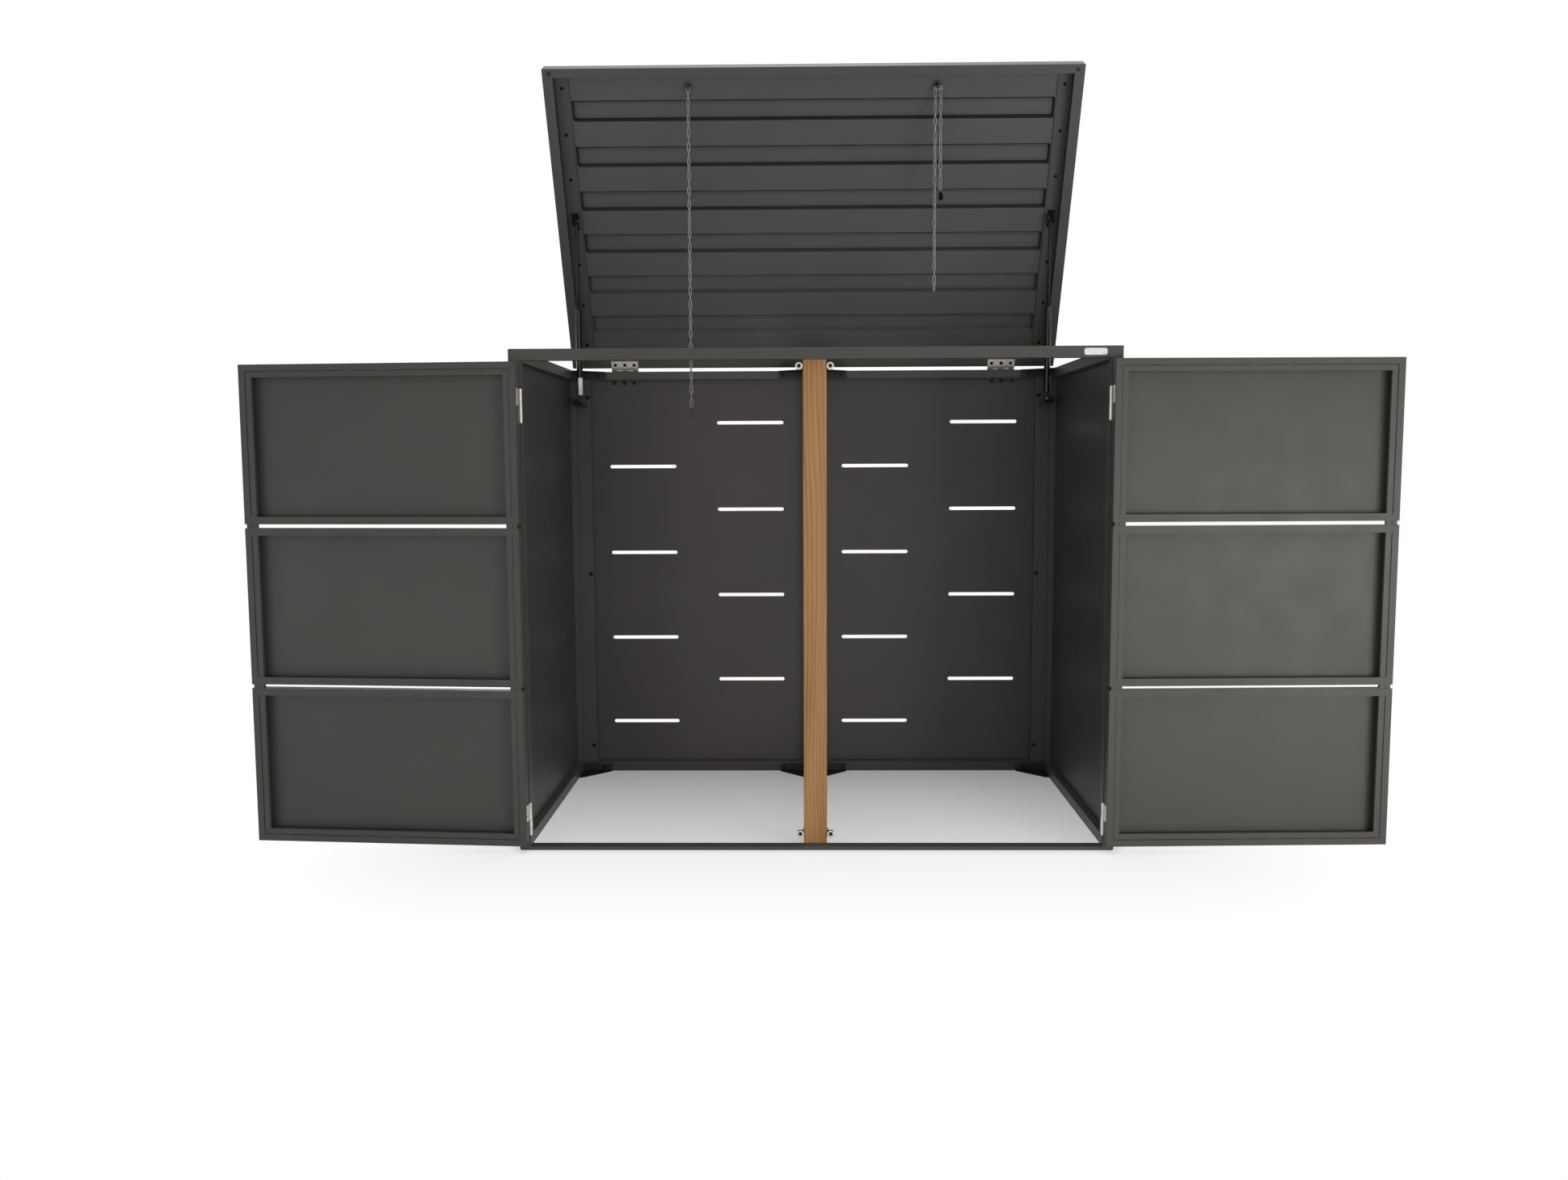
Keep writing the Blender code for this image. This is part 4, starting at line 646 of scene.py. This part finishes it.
DOOR_FOOT = 0.0205
DOOR_EDGE = 0.0015
SEAM_INSET = 0.0156
SEAM_WIDTH = 0.0015
SEAM_LEVEL = 0.0325
PLATE = ((0.633, FRONT - 0.0012, 1.1925), (0.687, FRONT, 1.2085))
LABEL_BAND = ((0.00905, 0.022), (0.00918, 0.0222), (0.00918, 0.0718), (0.00905, 0.072))


def add_seam_shadows():
    """Black strips laid in the seam between each door's outer tray and its inner frame, painted shadow of the
    gap there, broken where they are welded.
    """
    width = SEAM_WIDTH
    low, high = DOOR_FOOT + SEAM_INSET, DOOR_TOP - SEAM_INSET
    near, far = DOOR_EDGE + SEAM_INSET, DOOR_EDGE + DOOR_WIDTH - SEAM_INSET
    for name, side in (("left", 1), ("right", -1)):
        seam = bmesh.new()
        breaks = [near, near + 0.052, near + 0.30, near + 0.318, far - 0.262, far - 0.250, far - 0.060, far]
        runs = [(a, b, z, z + width) for z in (low, high - width)
                for a, b in zip(breaks[:-1], breaks[1:]) if b - a > 0.03]
        runs = [(a + 0.003, b - 0.003, u, v) for a, b, u, v in runs]
        runs += [(x, x + width, low + 0.002, high - 0.002) for x in (near, far - width)]
        for a, b, u, v in runs:
            place = Matrix.Translation((side * (a + b) / 2, SEAM_LEVEL, (u + v) / 2))
            place = place @ Matrix.Diagonal((b - a, 0.0005, v - u, 1))
            corners = bmesh.ops.create_cube(seam, size=1.0, matrix=place)["verts"]
            edges = dict.fromkeys(edge for corner in corners for edge in corner.link_edges)
            bmesh.ops.bevel(seam, geom=list(edges), offset=0.00012, segments=2, affect="EDGES")
        # The strips take the black rubber finish as painted shadow of the seam gap
        add_piece(f"door_seam_{name}", seam, RUBBER, f"door_{name}", DOORS[name])


def add_fittings():
    """The blank plate on the fascia and the blank labels on the struts."""
    plate = bmesh.new()
    low, high = Vector(PLATE[0]), Vector(PLATE[1])
    place = Matrix.Translation((low + high) / 2) @ Matrix.Diagonal((*(high - low), 1))
    bmesh.ops.create_cube(plate, size=1.0, matrix=place)
    upright = [e for e in plate.edges if abs((e.verts[0].co - e.verts[1].co).y) > 0.0005]
    bmesh.ops.bevel(plate, geom=upright, offset=0.0025, segments=4, affect="EDGES")
    rim = [e for e in plate.edges if all(v.co.y < FRONT - 0.001 for v in e.verts)]
    bmesh.ops.bevel(plate, geom=rim, offset=0.0004, segments=2, affect="EDGES")
    add_piece("blank_plate", plate, LABEL, "cabinet", smooth=50)

    for name, side, turn in (("left", -1, 22), ("right", 1, 104)):
        foot = Vector((side * STRUT_FOOT[0], *STRUT_FOOT[1:]))
        head = LID @ lid_at(side * STRUT_HEAD[0], STRUT_HEAD[1], LID_BASE + 0.012)
        place = facing(foot, (head - foot).normalized())
        angle = math.radians(turn)
        toward = place.inverted().to_3x3() @ Vector((math.sin(angle), -math.cos(angle), 0))
        start = math.atan2(toward.y, toward.x)
        arc = [start + math.radians(a) for a in range(-49, 50, 7)]
        band = bmesh.new()
        rows = [[band.verts.new(place @ Vector((r * math.cos(a), r * math.sin(a), z))) for a in arc]
                for r, z in LABEL_BAND]
        for a, b in zip(rows, rows[1:]):
            for i in range(len(arc) - 1):
                band.faces.new((a[i], a[i + 1], b[i + 1], b[i]))
        add_piece(f"strut_label_{name}", band, LABEL, f"strut_cylinder_{name}", smooth=60)


# Studio

FLOOR_GLOW_PAINTED_SHADE = (0.35, 0.13)
WORLD_LEVEL = (0.30, 0.22)
LAMPS = {
    "key": ((2.4, -3.1, 0.45), (0.7, 0.0, 0.55), (1.6, 0.9), 38.0, (1.0, 0.98, 0.95)),
    "front": ((0.2, -4.6, 0.5), (0.0, 0.0, 0.6), (2.4, 0.9), 10.0, (1, 1, 1)),
    "fill": ((-2.8, -3.5, 0.3), (-0.6, 0.0, 0.3), (2.4, 0.8), 8.0, (1, 1, 1)),
    "back": ((-0.6, 4.2, 2.0), (0.0, 0.4, 0.8), (3.0, 1.6), 30.0, (1, 1, 1)),
    "top": ((0.2, 0.1, 4.2), (0.0, 0.0, 0.6), (3.2, 1.8), 64.0, (1, 1, 1)),
}
PHOTO_WIDTH = 1940
FOCAL_PIXELS = 1612.81
SENSOR = 36.0


def seen_directly(tree):
    """1 for what the camera, mirrors and glass see, 0 for what lights the scene."""
    path = tree.nodes.new("ShaderNodeLightPath")
    socket = path.outputs["Is Camera Ray"]
    for name in ("Is Transmission Ray", "Is Glossy Ray"):
        either = tree.nodes.new("ShaderNodeMath")
        either.operation = "MAXIMUM"
        tree.links.new(socket, either.inputs[0])
        tree.links.new(path.outputs[name], either.inputs[1])
        socket = either.outputs["Value"]
    return socket


def add_lamp(name, place, aim, size, power, colour):
    data = bpy.data.lights.new(name, "AREA")
    data.shape = "RECTANGLE"
    data.size, data.size_y = size
    data.energy = power
    data.color = colour
    lamp = bpy.data.objects.new(name, data)
    lamp.location = place
    lamp.rotation_euler = (Vector(aim) - Vector(place)).to_track_quat("-Z", "Y").to_euler()
    lamp.visible_camera = False
    bpy.context.scene.collection.objects.link(lamp)


def add_world():
    """An even soft light; where it is seen or mirrored it is plain white."""
    world = bpy.data.worlds.new("studio")
    world.use_nodes = True
    tree = world.node_tree
    ambient = tree.nodes["Background"]
    height = tree.nodes.new("ShaderNodeSeparateXYZ")
    tree.links.new(tree.nodes.new("ShaderNodeTexCoord").outputs["Generated"], height.inputs[0])
    fall = tree.nodes.new("ShaderNodeMapRange")
    fall.inputs["From Min"].default_value = 0.05
    fall.inputs["From Max"].default_value = 0.9
    fall.inputs["To Min"].default_value, fall.inputs["To Max"].default_value = WORLD_LEVEL
    tree.links.new(height.outputs["Z"], fall.inputs["Value"])
    ambient.inputs["Color"].default_value = (1, 1, 1, 1)
    tree.links.new(fall.outputs["Result"], ambient.inputs["Strength"])
    seen = tree.nodes.new("ShaderNodeBackground")
    seen.inputs["Color"].default_value = (1, 1, 1, 1)
    seen.inputs["Strength"].default_value = 1.0
    mix = tree.nodes.new("ShaderNodeMixShader")
    tree.links.new(seen_directly(tree), mix.inputs["Fac"])
    tree.links.new(ambient.outputs["Background"], mix.inputs[1])
    tree.links.new(seen.outputs["Background"], mix.inputs[2])
    tree.links.new(mix.outputs["Shader"], tree.nodes["World Output"].inputs["Surface"])
    bpy.context.scene.world = world


def floor_material():
    """White paper that keeps the contact shadows and fades to pure white away from the bin store; its
    camera-seen glow falls off from front to back, painted shade on the floor inside.
    """
    m = Nodes("studio_floor")
    grain = m.noise(40.0, 3.0, 0.5)
    stops = [(0.3, (0.82, 0.785, 0.79)), (0.7, (0.86, 0.825, 0.83))]
    m.link(m.ramp(grain, stops), m.shader.inputs["Base Color"])
    m.set(Roughness=0.9, Specular_IOR_Level=0.0)
    glow = m.add("ShaderNodeEmission")
    glow.inputs["Color"].default_value = (1, 1, 1, 1)
    seen = seen_directly(m.tree)
    place = m.add("ShaderNodeSeparateXYZ")
    m.link(m.place, place.inputs[0])
    # Painted shade: the glow is weaker towards the back of the bin store
    level = m.span(place.outputs["Y"], *FLOOR_GLOW_PAINTED_SHADE, -DEPTH / 2, DEPTH / 2)
    m.link(m.maths("MULTIPLY", seen, level), glow.inputs["Strength"])
    near = m.add("ShaderNodeAddShader")
    m.link(m.shader.outputs["BSDF"], near.inputs[0])
    m.link(glow.outputs["Emission"], near.inputs[1])
    across = m.maths("MAXIMUM", m.maths("SUBTRACT", m.maths("ABSOLUTE", place.outputs["X"], 0.0), 0.70), 0.0)
    along = m.maths("MAXIMUM", m.maths("SUBTRACT", m.maths("ABSOLUTE", place.outputs["Y"], 0.0), 0.40), 0.0)
    away = m.length(across, along)
    fade = m.maths("ADD", m.span(away, 0.0, 0.62, 0.01, 0.06), m.span(away, 0.0, 0.38, 0.10, 0.54))
    fade = m.maths("MULTIPLY", fade, seen)
    paper = m.add("ShaderNodeEmission")
    paper.inputs["Color"].default_value = (1, 1, 1, 1)
    paper.inputs["Strength"].default_value = 1.0
    mix = m.add("ShaderNodeMixShader")
    m.link(fade, mix.inputs["Fac"])
    m.link(near.outputs["Shader"], mix.inputs[1])
    m.link(paper.outputs["Emission"], mix.inputs[2])
    m.link(mix.outputs["Shader"], m.tree.nodes["Material Output"].inputs["Surface"])
    return m.material


def add_studio():
    add_world()
    mesh = bpy.data.meshes.new("floor")
    bm = bmesh.new()
    bmesh.ops.create_grid(bm, x_segments=1, y_segments=1, size=30.0)
    bm.to_mesh(mesh)
    bm.free()
    mesh.materials.append(floor_material())
    floor = bpy.data.objects.new("floor", mesh)
    floor.location = (0, 0, -0.0002)
    bpy.context.scene.collection.objects.link(floor)
    for name, settings in LAMPS.items():
        add_lamp(name, *settings)
    bpy.context.scene.view_settings.view_transform = "Standard"


def add_camera():
    """The photograph's view, fitted to its straight edges."""
    yaw, pitch, roll = -0.0161, -0.0997, -0.0045
    forward = Vector((math.sin(yaw) * math.cos(pitch), math.cos(yaw) * math.cos(pitch), math.sin(pitch)))
    right = forward.cross(Vector((0, 0, 1))).normalized()
    up = right.cross(forward)
    right, up = (math.cos(roll) * right + math.sin(roll) * up, math.cos(roll) * up - math.sin(roll) * right)
    data = bpy.data.cameras.new("camera")
    data.sensor_fit = "HORIZONTAL"
    data.sensor_width = SENSOR
    data.lens = FOCAL_PIXELS / PHOTO_WIDTH * SENSOR
    camera = bpy.data.objects.new("camera", data)
    turn = Matrix((right, up, -forward)).transposed().to_4x4()
    camera.matrix_world = Matrix.Translation((-0.0245, -3.5321, 0.9509)) @ turn
    bpy.context.scene.collection.objects.link(camera)
    bpy.context.scene.camera = camera


finish_nodes()
add_fasteners()
add_chains()
add_seam_shadows()
add_fittings()
add_studio()
add_camera()
bpy.context.view_layer.update()
